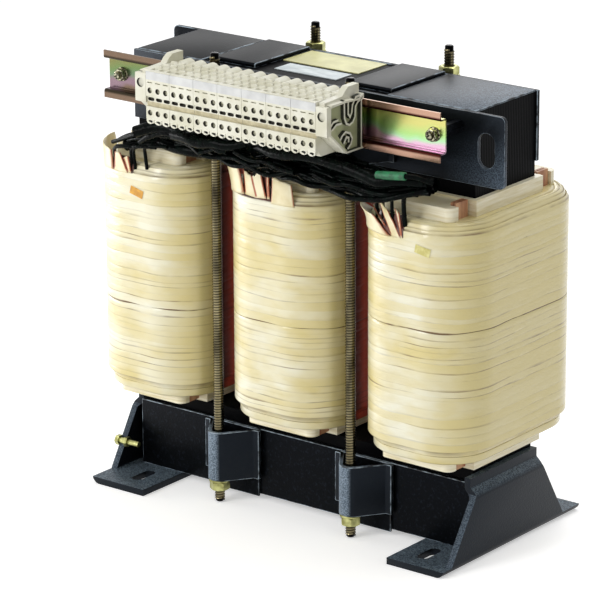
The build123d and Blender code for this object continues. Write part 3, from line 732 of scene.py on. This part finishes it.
rodSpots = [(x, y) for x in (-rodShape["x"], rodShape["x"]) for y in (-rodShape["y"], rodShape["y"])]
form = bmesh.new()
form.verts.layers.float.new("threadCrest")
for x, y in rodSpots:
    threadedRod(form, x, y, rodShape)
newPiece("threadedRods", form, [threadSteel], ["tie_rods"], sharpAngle=80)
print("rods threaded")


# nuts with turned corners, and washers with a rolled edge
nutShape = {"flats": 13, "height": 6.5, "bore": 3.95, "turned": 0.47, "slope": 0.58, "countersink": 0.5,
            "mouth": 0.3, "steps": 36, "twist": 0.35}
washerShape = {"radius": 8, "bore": 3.95, "thickness": 1.6, "edge": 0.4, "steps": 32}
# rail bolts: a washer, a nut and the end of a threaded stud at each end of the rail
railBolt = {"x": 138, "y": 68.0, "z": 313, "twist": 0.3}
railNut = dict(nutShape, flats=8, height=3.6, bore=2.55)
railWasher = dict(washerShape, radius=5.2, bore=2.55, thickness=0.9, edge=0.25)
studShape = {"radius": 2.5, "bore": 0.6, "thickness": 7.2, "edge": 0.5, "steps": 20}
alongX, alongY, alongZ = Vector((1, 0, 0)), Vector((0, 1, 0)), Vector((0, 0, 1))


def nutRings(shape):
    # radius and height for each step round the nut, ring by ring from the bore's lower mouth to its upper one
    steps, top, bore = shape["steps"], shape["height"], shape["bore"]
    reach = [shape["flats"] / 2 / math.cos((2 * math.pi * step / steps + math.pi / 6) % (math.pi / 3) - math.pi / 6)
             for step in range(steps)]
    turned = shape["flats"] * shape["turned"]
    drop = [(r - turned) * shape["slope"] for r in reach]
    low = [([bore] * steps, [shape["mouth"]] * steps), ([bore + shape["countersink"]] * steps, [0] * steps),
           ([turned] * steps, [0] * steps), (reach, drop)]
    return low + [(radii, [top - height for height in heights]) for radii, heights in low[::-1]]


def washerRings(shape):
    radius, edge, thickness = shape["radius"], shape["edge"], shape["thickness"]
    outline = [(shape["bore"], 0), (radius - edge, 0), (radius, edge), (radius, thickness - edge),
               (radius - edge, thickness), (shape["bore"], thickness)]
    return [([r] * shape["steps"], [z] * shape["steps"]) for r, z in outline]


def turnedPart(form, rings, place, axisX, axisY, axis, twist=0.0):
    made = []
    for radii, heights in rings:
        count = len(radii)
        made.append([form.verts.new(place + (axisX * math.cos(2 * math.pi * step / count + twist) * radii[step]
                                             + axisY * math.sin(2 * math.pi * step / count + twist) * radii[step]
                                             + axis * heights[step]) * mm) for step in range(count)])
    skin(form, made, closed=True)


hatLow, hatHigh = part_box("bottom_hats_front")[0][2] / mm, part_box("top_hats_front")[1][2] / mm
for name, start, rings, replaced in (
        ("bottomNuts", hatLow - washerShape["thickness"] - nutShape["height"], nutRings(nutShape), "bottom_nuts"),
        ("topNuts", hatHigh + washerShape["thickness"], nutRings(nutShape), "top_nuts"),
        ("bottomWashers", hatLow - washerShape["thickness"], washerRings(washerShape), "bottom_washers"),
        ("topWashers", hatHigh, washerRings(washerShape), "top_washers")):
    form = bmesh.new()
    for number, (x, y) in enumerate(rodSpots):
        turnedPart(form, rings, at(x, y, start), alongX, alongY, alongZ, twist=nutShape["twist"] * number)
    newPiece(name, form, [yellowZinc], [replaced], sharpAngle=25)

form = bmesh.new()
for x in (-railBolt["x"], railBolt["x"]):
    spot = at(x, -railBolt["y"], railBolt["z"])
    turnedPart(form, washerRings(railWasher), spot, alongX, alongZ, -alongY)
    turnedPart(form, nutRings(railNut), spot - alongY * railWasher["thickness"] * mm, alongX, alongZ, -alongY,
               twist=railBolt["twist"])
    turnedPart(form, washerRings(studShape), spot, alongX, alongZ, -alongY)
newPiece("railNuts", form, [plainZinc], ["rail_bolts"], sharpAngle=25)
print("nuts and washers turned")


# terminal row: seven blocks of three columns, each column with its holes, lip, slot and wire funnels
strip = {
    "left": -75.51, "columns": 3, "blocks": 7, "columnPitch": 7.12, "gap": 0.25, "front": 116.0, "back": 74.3,
    "bottom": 296, "top": 335, "topSetBack": 1, "lipTop": 300.4, "holeRadius": 2.05, "holeDepth": 1.5,
    "lowerHole": 304.9, "upperHole": 321.0, "channelLow": 309.5, "channelHigh": 316.5, "channelDepth": 1.5,
    "inlayShare": 0.45, "combWidth": 5.6, "combHeight": 2.5, "combDrop": 2.0, "combDepth": 2.0,
    "dashFrom": 325.2, "dashZ": 326.7, "dashWidth": 4.6, "dashHeight": 0.8, "dashDepth": 1.2,
    "markerLow": 328.6, "markerHigh": 334.4, "markerDepth": 0.8,
    "lipInset": 0.25, "lipDepth": 2.6, "lipDrop": 1.4, "lipRound": 2.2, "lipSteps": 8,
    "slotShift": 0.4, "slotDrop": 1.5, "slotLong": 1.9, "slotHigh": 0.75, "slotDepth": (0, 1.0, 0.15),
    "funnelRows": (109.8, 101.6, 93.2), "funnelEnd": 88.6, "funnelLength": 5.0, "funnelWidth": 4.9,
    "funnelDepth": 3.4, "ridgeRise": 1.3,
    # humps over the rail foot, and the groove in front of them
    "humpSteps": 28, "humpBase": 2.6, "humpRise": 3.6, "grooveFrom": 86.8, "grooveTo": 85.6, "grooveDepth": 3.0,
    "humpFrom": 84.2, "humpFull": 82.4,
}
# materials of the row, by what they are on
terminalFaces = {"body": ivory, "hole": holeShade, "screw": screwZinc, "inlay": channelTan, "slot": slotGrey}
onBody, onHole, onScrew, onInlay, onSlot = range(len(terminalFaces))


def ellipse(u, v, radiusU, radiusV, steps=16, square=1.0):
    # square below 1 pulls the outline out towards its corners
    points = []
    for step in range(steps):
        angle = 2 * math.pi * step / steps
        c, s = math.cos(angle), math.sin(angle)
        points.append((u + radiusU * math.copysign(abs(c) ** square, c),
                       v + radiusV * math.copysign(abs(s) ** square, s)))
    return points


def holedTile(form, toPoint, box, outline, depth, narrowing=1.0, wall=0, bottom=0):
    # a flat tile with a blind hole: toPoint takes u, v and how deep a point lies
    u0, u1, v0, v1 = box
    centreU = sum(p[0] for p in outline) / len(outline)
    centreV = sum(p[1] for p in outline) / len(outline)
    border = []
    for u, v in outline:
        du, dv = u - centreU, v - centreV
        reach = min(((u1 - centreU) if du > 0 else (u0 - centreU)) / du if abs(du) > 1e-6 else 1e9,
                    ((v1 - centreV) if dv > 0 else (v0 - centreV)) / dv if abs(dv) > 1e-6 else 1e9)
        border.append([centreU + du * reach, centreV + dv * reach])
    for corner in ((u0, v0), (u0, v1), (u1, v0), (u1, v1)):
        nearest = min(border, key=lambda p: (p[0] - corner[0]) ** 2 + (p[1] - corner[1]) ** 2)
        nearest[0], nearest[1] = corner
    outerRing = [form.verts.new(toPoint(u, v, 0)) for u, v in border]
    mouth = [form.verts.new(toPoint(u, v, 0)) for u, v in outline]
    end = [form.verts.new(toPoint(centreU + (u - centreU) * narrowing, centreV + (v - centreV) * narrowing, depth))
           for u, v in outline]
    skin(form, [outerRing, mouth])
    skin(form, [mouth, end], material=wall)
    form.faces.new(end).material_index = bottom


def plainFace(form, points, material=0):
    form.faces.new([form.verts.new(point) for point in points]).material_index = material


def frontPoint(u, v, depth):
    return at(u, -strip["front"] + depth, v)


def channelPoint(u, v, depth):
    return frontPoint(u, v, strip["channelDepth"] + depth)


def topPoint(u, v, depth):
    return at(u, -v, strip["top"] - depth)


def terminalColumn(form, x0, x1):
    s = strip
    middle = (x0 + x1) / 2
    inlayTop = s["channelLow"] + s["inlayShare"] * (s["channelHigh"] - s["channelLow"])
    for low, high, hole in ((s["lipTop"], s["channelLow"], s["lowerHole"]),
                            (s["channelHigh"], s["dashFrom"], s["upperHole"])):
        holedTile(form, frontPoint, (x0, x1, low, high),
                  ellipse(middle, hole, s["holeRadius"], s["holeRadius"]), s["holeDepth"], 0.86, onHole, onScrew)
    holedTile(form, frontPoint, (x0, x1, s["dashFrom"], s["markerLow"]),
              ellipse(middle, s["dashZ"], s["dashWidth"] / 2, s["dashHeight"] / 2, square=0.4),
              s["dashDepth"], 0.9, onSlot, onSlot)
    # the upper half of the channel's floor has a dark opening for the bridging comb
    holedTile(form, channelPoint, (x0, x1, inlayTop, s["channelHigh"]),
              ellipse(middle, s["channelHigh"] - s["combDrop"], s["combWidth"] / 2, s["combHeight"] / 2,
                      square=0.6), s["combDepth"], 0.9, onHole, onHole)
    # plain bands across the column, each from one (depth, height) to the next
    floor, marker = s["channelDepth"], s["markerDepth"]
    for (depth0, z0), (depth1, z1), material in (
            ((0, s["channelLow"]), (floor, s["channelLow"]), onBody),
            ((floor, s["channelLow"]), (floor, inlayTop), onInlay),
            ((floor, s["channelHigh"]), (0, s["channelHigh"]), onHole),
            ((0, s["markerLow"]), (marker, s["markerLow"]), onBody),
            ((marker, s["markerLow"]), (marker, s["markerHigh"]), onBody),
            ((marker, s["markerHigh"]), (s["topSetBack"], s["top"]), onBody)):
        plainFace(form, [frontPoint(x0, z0, depth0), frontPoint(x1, z0, depth0), frontPoint(x1, z1, depth1),
                         frontPoint(x0, z1, depth1)], material)
    # rounded lip that hangs from the front edge, with its lens-shaped test slot
    lipHalf = middle - x0 - s["lipInset"]
    lipRings = []
    for depth in (0.0, s["lipDepth"]):
        ring = [form.verts.new(frontPoint(x0 + s["lipInset"], s["lipTop"], depth))]
        for step in range(s["lipSteps"] + 1):
            angle = math.pi * step / s["lipSteps"]
            ring.append(form.verts.new(frontPoint(middle - lipHalf * math.cos(angle), s["lipTop"] - s["lipDrop"]
                                                  - s["lipRound"] * math.sin(angle), depth)))
        ring.append(form.verts.new(frontPoint(x1 - s["lipInset"], s["lipTop"], depth)))
        lipRings.append(ring)
    skin(form, lipRings)
    form.faces.new(lipRings[1])
    slot = ellipse(middle + s["slotShift"], s["lipTop"] - s["slotDrop"], s["slotLong"], s["slotHigh"],
                   steps=len(lipRings[0]))
    slot = [form.verts.new(frontPoint(u, v, 0)) for u, v in slot]
    # the slot's outline starts at its right end, the lip's at its upper left corner
    turned = slot[4::-1] + slot[:4:-1]
    skin(form, [lipRings[0], turned])
    slotEnd = [form.verts.new(vert.co + Vector(s["slotDepth"]) * mm) for vert in turned]
    skin(form, [turned, slotEnd], material=onSlot)
    form.faces.new(slotEnd).material_index = onSlot
    # top: three rows of wire funnels, with low saddle ridges between the rows
    between = [(a + b) / 2 for a, b in zip(s["funnelRows"][:-1], s["funnelRows"][1:])]
    edges = [s["front"] - s["topSetBack"], *between, s["funnelEnd"]]
    for row, outerEdge, innerEdge in zip(s["funnelRows"], edges[:-1], edges[1:]):
        holedTile(form, topPoint, (x0, x1, innerEdge, outerEdge),
                  ellipse(middle, row, s["funnelWidth"] / 2, s["funnelLength"] / 2, square=0.55),
                  s["funnelDepth"], 0.6, onBody, onSlot)
        ridge = [[form.verts.new(at(x, -innerEdge + along, s["top"] + rise * lift))
                  for x, lift in ((x0 + 0.5, 0), (x0 + 1.1, 1), (x1 - 1.1, 1), (x1 - 0.5, 0))]
                 for along, rise in ((-1.1, 0), (-0.6, s["ridgeRise"]), (0.6, s["ridgeRise"]), (1.1, 0))]
        skin(form, ridge, ring=False)


def terminalBlock(form, x0, x1):
    s = strip
    pitch = (x1 - x0) / s["columns"]
    for column in range(s["columns"]):
        terminalColumn(form, x0 + column * pitch, x0 + (column + 1) * pitch)
    front, back, grooveZ = -s["front"], -s["back"], s["top"] - s["grooveDepth"]
    # rear part: two rounded humps over the rail foot of each block
    humps = []
    for step in range(s["humpSteps"] + 1):
        x = x0 + (x1 - x0) * step / s["humpSteps"]
        wave = abs(math.sin(2 * math.pi * (x - x0) / (x1 - x0)))
        humps.append((x, s["top"] - s["humpBase"] + s["humpRise"] * wave ** 0.6))
    # each line is (place, height, 1 where the height is above the humps)
    lines = [(-s["funnelEnd"], s["top"], 0), (-s["grooveFrom"], grooveZ, 0), (-s["grooveTo"], grooveZ, 0),
             (-s["humpFrom"], -0.5, 1), (-s["humpFull"], 0, 1), (back + 1.2, 0, 1), (back, -1.2, 1),
             (back, s["bottom"], 0), (front + 6, s["bottom"], 0), (front + 2.6, s["lipTop"], 0),
             (front, s["lipTop"], 0)]
    skin(form, [[form.verts.new(at(x, y, level + z * follow)) for x, z in humps] for y, level, follow in lines],
         ring=False)
    for x in (x0, x1):   # flat cheeks
        plainFace(form, [at(x, y, z) for y, z in (
            (front, s["lipTop"]), (front, s["channelLow"]), (front + s["channelDepth"], s["channelLow"]),
            (front + s["channelDepth"], s["channelHigh"]), (front, s["channelHigh"]), (front, s["markerLow"]),
            (front + s["markerDepth"], s["markerLow"]), (front + s["markerDepth"], s["markerHigh"]),
            (front + s["topSetBack"], s["top"]), (-s["funnelEnd"], s["top"]), (-s["grooveFrom"], grooveZ),
            (-s["humpFrom"], grooveZ), (back, grooveZ), (back, s["bottom"]), (front + 6, s["bottom"]),
            (front + 2.6, s["lipTop"]))])


blockPitch = strip["columns"] * strip["columnPitch"]
form = bmesh.new()
for block in range(strip["blocks"]):
    x0 = strip["left"] + block * blockPitch
    terminalBlock(form, x0, x0 + blockPitch - strip["gap"])
newPiece("terminalRow", form, terminalFaces.values(), ["terminal_blocks"], sharpAngle=30)
print("terminals moulded")


# end brackets: a body, a nose with a round recess, and a web with a raised rim and hooked ribs on its outer side;
# outlines are (y, z) from the core's centre line
bracketShape = {
    "width": 9.5, "web": 6.4, "rim": 1.3, "rib": 1.5, "ribDrop": 0.3, "root": 0.1, "body": 5.2,
    "recess": 3.3, "recessZ": 325.6, "recessDepth": 1.6, "noseDepth": 3.6, "noseLow": 312, "noseHigh": 332.4,
    "outline": [(-113, 312), (-113, 331), (-112.5, 334.6), (-93, 335.4), (-90, 338.5), (-86, 341), (-74.3, 341),
                (-74.3, 331.5), (-76.5, 330), (-76.5, 298), (-74.3, 296), (-94, 296)],
    "side": [(-112.4, 312), (-112.4, 331.4), (-110, 333.2), (-96.8, 333.2), (-79.8, 332.2), (-74.3, 334.6),
             (-74.3, 331.5), (-76.5, 330), (-76.5, 298), (-74.3, 296), (-94, 296)],
    "ribs": [[(-96.0, 334), (-95.8, 321.5), (-93.6, 317.0), (-90.2, 315.4), (-86.4, 316.6), (-84.0, 320),
              (-83.4, 327), (-80.5, 330), (-77, 331)],
             [(-91.6, 331.5), (-91.6, 323.4), (-89.4, 320.8), (-87.6, 323.6), (-86.8, 328.8), (-83.2, 333.4),
              (-78, 334)],
             [(-114, 331.5), (-105, 332.2), (-98, 332.4)],
             [(-112.8, 317.2), (-108.4, 321.0), (-102.6, 321.6)], [(-110.6, 315.0), (-104.6, 318.6), (-99, 318.2)],
             [(-101.6, 305.5), (-98.4, 309.4), (-94.6, 311.4), (-89.6, 309.6), (-87.0, 305.4), (-88.4, 301.6),
              (-92.4, 299.0)],
             [(-96.6, 303.4), (-93.6, 307.6), (-91.0, 306.6), (-91.2, 303.4)]],
    "band": [(-113.0, 314.6), (-107.6, 315.8), (-95.6, 300.4), (-92.5, 297.4), (-95.4, 296.8)],
}
bracketFaces = {"body": ivory, "side": sideShadeIvory, "flank": ribShade}
onBracket, onSide, onFlank = range(len(bracketFaces))


def signedArea(points):
    return sum(a[0] * b[1] - b[0] * a[1] for a, b in zip(points, points[1:] + points[:1])) / 2


def stripOutline(points, width, closed=False):
    # left and right edges of a band of even width along points
    left, right = [], []
    count = len(points)
    for index, point in enumerate(points):
        before = points[index - 1] if index or closed else point
        after = points[(index + 1) % count] if index < count - 1 or closed else point
        first = (Vector(point) - Vector(before)).normalized() if before != point else None
        second = (Vector(after) - Vector(point)).normalized() if after != point else None
        first, second = first or second, second or first
        across = Vector((-(first.y + second.y), first.x + second.x)).normalized()
        reach = width / 2 / max(0.35, across.dot(Vector((-second.y, second.x))))
        left.append(Vector(point) + across * reach)
        right.append(Vector(point) - across * reach)
    return left, right


def raisedRib(form, points, width, xLow, xHigh, closed=False, outer=None):
    # outer is the flank, 0 for left or 1 for right, that stays as pale as the top
    sides = stripOutline(points, width, closed)
    top = [[form.verts.new(at(xHigh, p.x, p.y)) for p in side] for side in sides]
    base = [[form.verts.new(at(xLow, p.x, p.y)) for p in side] for side in sides]
    count = len(points)
    for index in range(count if closed else count - 1):
        after = (index + 1) % count
        form.faces.new((top[0][index], top[0][after], top[1][after], top[1][index]))
        for flank in (0, 1):
            face = form.faces.new((base[flank][index], base[flank][after], top[flank][after], top[flank][index]))
            face.material_index = onBracket if flank == outer else onFlank
    if not closed:
        for index in (0, count - 1):
            form.faces.new((top[0][index], top[1][index], base[1][index], base[0][index])).material_index = onFlank


def endBracket(name, xInner, outward, replaced):
    # outward is 1 where the ribs look towards +X
    shape = bracketShape
    form = bmesh.new()
    xBody, xWeb, xOuter = (xInner + outward * shape[key] for key in ("body", "web", "width"))
    xRoot = xWeb - outward * shape["root"]
    outline, side = shape["outline"], shape["side"]
    body = [[form.verts.new(at(x, y, z)) for y, z in outline] for x in (xInner, xBody)]
    form.faces.new(body[0])
    form.faces.new(body[1])
    for index in range(1, len(outline)):   # open in front, where the nose stands
        after = (index + 1) % len(outline)
        form.faces.new((body[0][index], body[0][after], body[1][after], body[1][index]))
    web = [[form.verts.new(at(x, y, z)) for y, z in side] for x in (xInner + outward * shape["root"], xWeb)]
    form.faces.new(web[1]).material_index = onSide
    skin(form, web)
    inner = 0 if signedArea(side) > 0 else 1
    rim = [tuple(p) for p in stripOutline(side, shape["rim"], closed=True)[inner]]
    raisedRib(form, rim, shape["rim"], xRoot, xOuter, closed=True, outer=1 - inner)
    for rib in shape["ribs"]:
        raisedRib(form, rib, shape["rib"], xRoot, xOuter - outward * shape["ribDrop"])
    # slanting band below the loop
    band = [[form.verts.new(at(x, y, z)) for y, z in shape["band"]]
            for x in (xRoot, xOuter - outward * shape["root"])]
    form.faces.new(band[1]).material_index = onSide
    skin(form, band)
    # nose with its round recess
    low, high = sorted((xInner, xOuter))
    noseLow, noseHigh = shape["noseLow"], shape["noseHigh"]
    recess = ellipse((low + high) / 2, shape["recessZ"], shape["recess"], shape["recess"], steps=24)
    holedTile(form, frontPoint, (low, high, noseLow, noseHigh), recess, shape["recessDepth"], 0.96, onFlank,
              onBracket)
    skin(form, [[form.verts.new(frontPoint(x, z, depth)) for x, z in (
        (low, noseLow), (high, noseLow), (high, noseHigh), (low, noseHigh))] for depth in (0, shape["noseDepth"])])
    newPiece(name, form, bracketFaces.values(), [replaced], sharpAngle=30)


stripRight = strip["left"] + strip["blocks"] * blockPitch
endBracket("endBracketRight", stripRight, 1, "end_bracket_right")
endBracket("endBracketLeft", strip["left"] - strip["gap"], -1, "end_bracket_left")
print("end brackets moulded")


# sleeved leads: along the coil tops, up into the terminals and down into the slits
leadShape = {
    "radius": 1.7, "count": 64, "coreEvery": 8, "coreThick": 2.6, "front": -95, "rear": -69, "flatBelow": 16,
    "pointGap": 13, "wander": 0.22, "shortest": 45, "longest": 150, "firstX": -144, "spreadX": 250, "lastX": 142,
    "toTerminals": (-70, 68), "riseEvery": 3, "terminalY": -97, "terminalZ": 297.5,
    # each station is (x, lowest, highest) of the mass of leads
    "stations": [(-146, 258, 262), (-134, 260.5, 268), (-122, 262, 274), (-108, 265, 280), (-90, 268, 291),
                 (-60, 267.5, 293), (-24, 267.5, 293), (0, 266, 293), (34, 267.5, 291), (60, 265.5, 289),
                 (86, 264, 286), (107, 266, 283), (124, 271, 284), (142, 275.5, 283)],
    # places along each coil's outline, and heights, where a lead goes down
    "drops": {"left": [(-21, 256), (-4, 256), (-1.5, 256), (9, 260)],
              "middle": [(-19.4, 262), (-10, 262), (1, 264), (3.8, 264)],
              "right": [(-27, 254), (-11, 256), (-1, 256), (-20, 258)]},
}
# a bare green sleeve on a lead of its own, under the rail
greenSleeve = {"start": (110, -95, 285.7), "end": (134, -95, 288.8), "radius": 2.9, "bore": 1.9, "edge": 0.3,
               "edgeRun": 0.4, "sides": 18, "leadThick": 1.1,
               "before": [(70, -82, 276), (90, -90, 280), (104, -95, 285)], "between": [(122, -95, 287.2)],
               "behind": [(141, -90, 288), (147, -82, 283)]}


def massAt(x):
    # lowest and highest place of a lead at x
    stations = leadShape["stations"]
    x = min(max(x, stations[0][0]), stations[-1][0])
    for (x0, low0, high0), (x1, low1, high1) in zip(stations[:-1], stations[1:]):
        if x <= x1:
            share = (x - x0) / (x1 - x0)
            return low0 + (low1 - low0) * share, high0 + (high1 - high0) * share


def leadRun(dice, x0, x1, shape):
    # a lead that wanders slowly through the mass from x0 to x1
    rise, depth = dice.random(), dice.random()
    points = []
    steps = max(3, int(abs(x1 - x0) / shape["pointGap"]))
    for step in range(steps + 1):
        x = x0 + (x1 - x0) * step / steps
        rise = min(1, max(0, rise + dice.uniform(-1, 1) * shape["wander"]))
        depth = min(1, max(0, depth + dice.uniform(-1, 1) * shape["wander"]))
        low, high = massAt(x)
        across = (shape["front"] - shape["rear"]) * depth * min(1, (high - low) / shape["flatBelow"])
        points.append((x, shape["rear"] + across, low + (high - low) * rise))
    return points


def leadBundle(name, leads, replaced=()):
    # each lead is its points and how thick it is against the others
    curve = bpy.data.curves.new(name + "Line", "CURVE")
    curve.dimensions = "3D"
    curve.bevel_depth = leadShape["radius"] * mm
    curve.bevel_resolution = 3
    curve.resolution_u = 5
    for points, thick in leads:
        line = curve.splines.new("NURBS")
        line.points.add(len(points) - 1)
        for spot, point in zip(line.points, points):
            spot.co = (*at(*point), 1.0)
            spot.radius = thick
        line.order_u = 3
        line.use_endpoint_u = True
    holder = addObject(name + "Line", curve)
    mesh = bpy.data.meshes.new_from_object(holder)
    bpy.data.objects.remove(holder)
    mesh.name = name
    mesh.materials.clear()
    newPiece(name, mesh, [blackSleeve], replaced, sharpAngle=70)


dice = random.Random(11)
runs = []
for number in range(leadShape["count"]):
    x0 = leadShape["firstX"] + leadShape["spreadX"] * number / leadShape["count"] + dice.uniform(-4, 4)
    x1 = min(x0 + dice.uniform(leadShape["shortest"], leadShape["longest"]), leadShape["lastX"])
    points = leadRun(dice, x0, x1, leadShape)
    if number % leadShape["riseEvery"] == 0 and leadShape["toTerminals"][0] < x1 < leadShape["toTerminals"][1]:
        points += [(x1 + 3, -92, 291), (x1 + 4, leadShape["terminalY"], leadShape["terminalZ"])]
    core = number % leadShape["coreEvery"] == 3
    runs.append((points, leadShape["coreThick"] if core else dice.uniform(0.85, 1.3)))
runs.append((greenSleeve["before"] + [greenSleeve["start"]] + greenSleeve["between"] + [greenSleeve["end"]]
             + greenSleeve["behind"], greenSleeve["leadThick"]))
leadBundle("sleevedLeadsAlong", runs, ["lead_loom_lower", "lead_loom_upper"])
drops = []
for side, sources in leadShape["drops"].items():
    for along, height in sources:
        x, y = onCoil(coilShape, along, -1.2)
        x += coilShape["centres"][side]
        low, high = massAt(x)
        drops.append(([(x, y + 2, height - 12), (x, y, height), (x + 2, y - 3, low + 1),
                       (x + 10, y - 7, low + 5), (x + 26, y - 6, low + 6)], dice.uniform(0.7, 1.0)))
leadBundle("sleevedLeadsDown", drops)

start, end = at(*greenSleeve["start"]), at(*greenSleeve["end"])
axis, length = (end - start).normalized(), (end - start).length / mm
form = bmesh.new()
turnedPart(form, [([radius] * greenSleeve["sides"], [along] * greenSleeve["sides"]) for radius, along in (
    (greenSleeve["bore"], 0), (greenSleeve["radius"] - greenSleeve["edge"], 0),
    (greenSleeve["radius"], greenSleeve["edgeRun"]), (greenSleeve["radius"], length - greenSleeve["edgeRun"]),
    (greenSleeve["radius"] - greenSleeve["edge"], length), (greenSleeve["bore"], length))],
    start, alongY, axis.cross(alongY), axis)
newPiece("greenBand", form, [tagPaper["green"]])
print("leads laid")
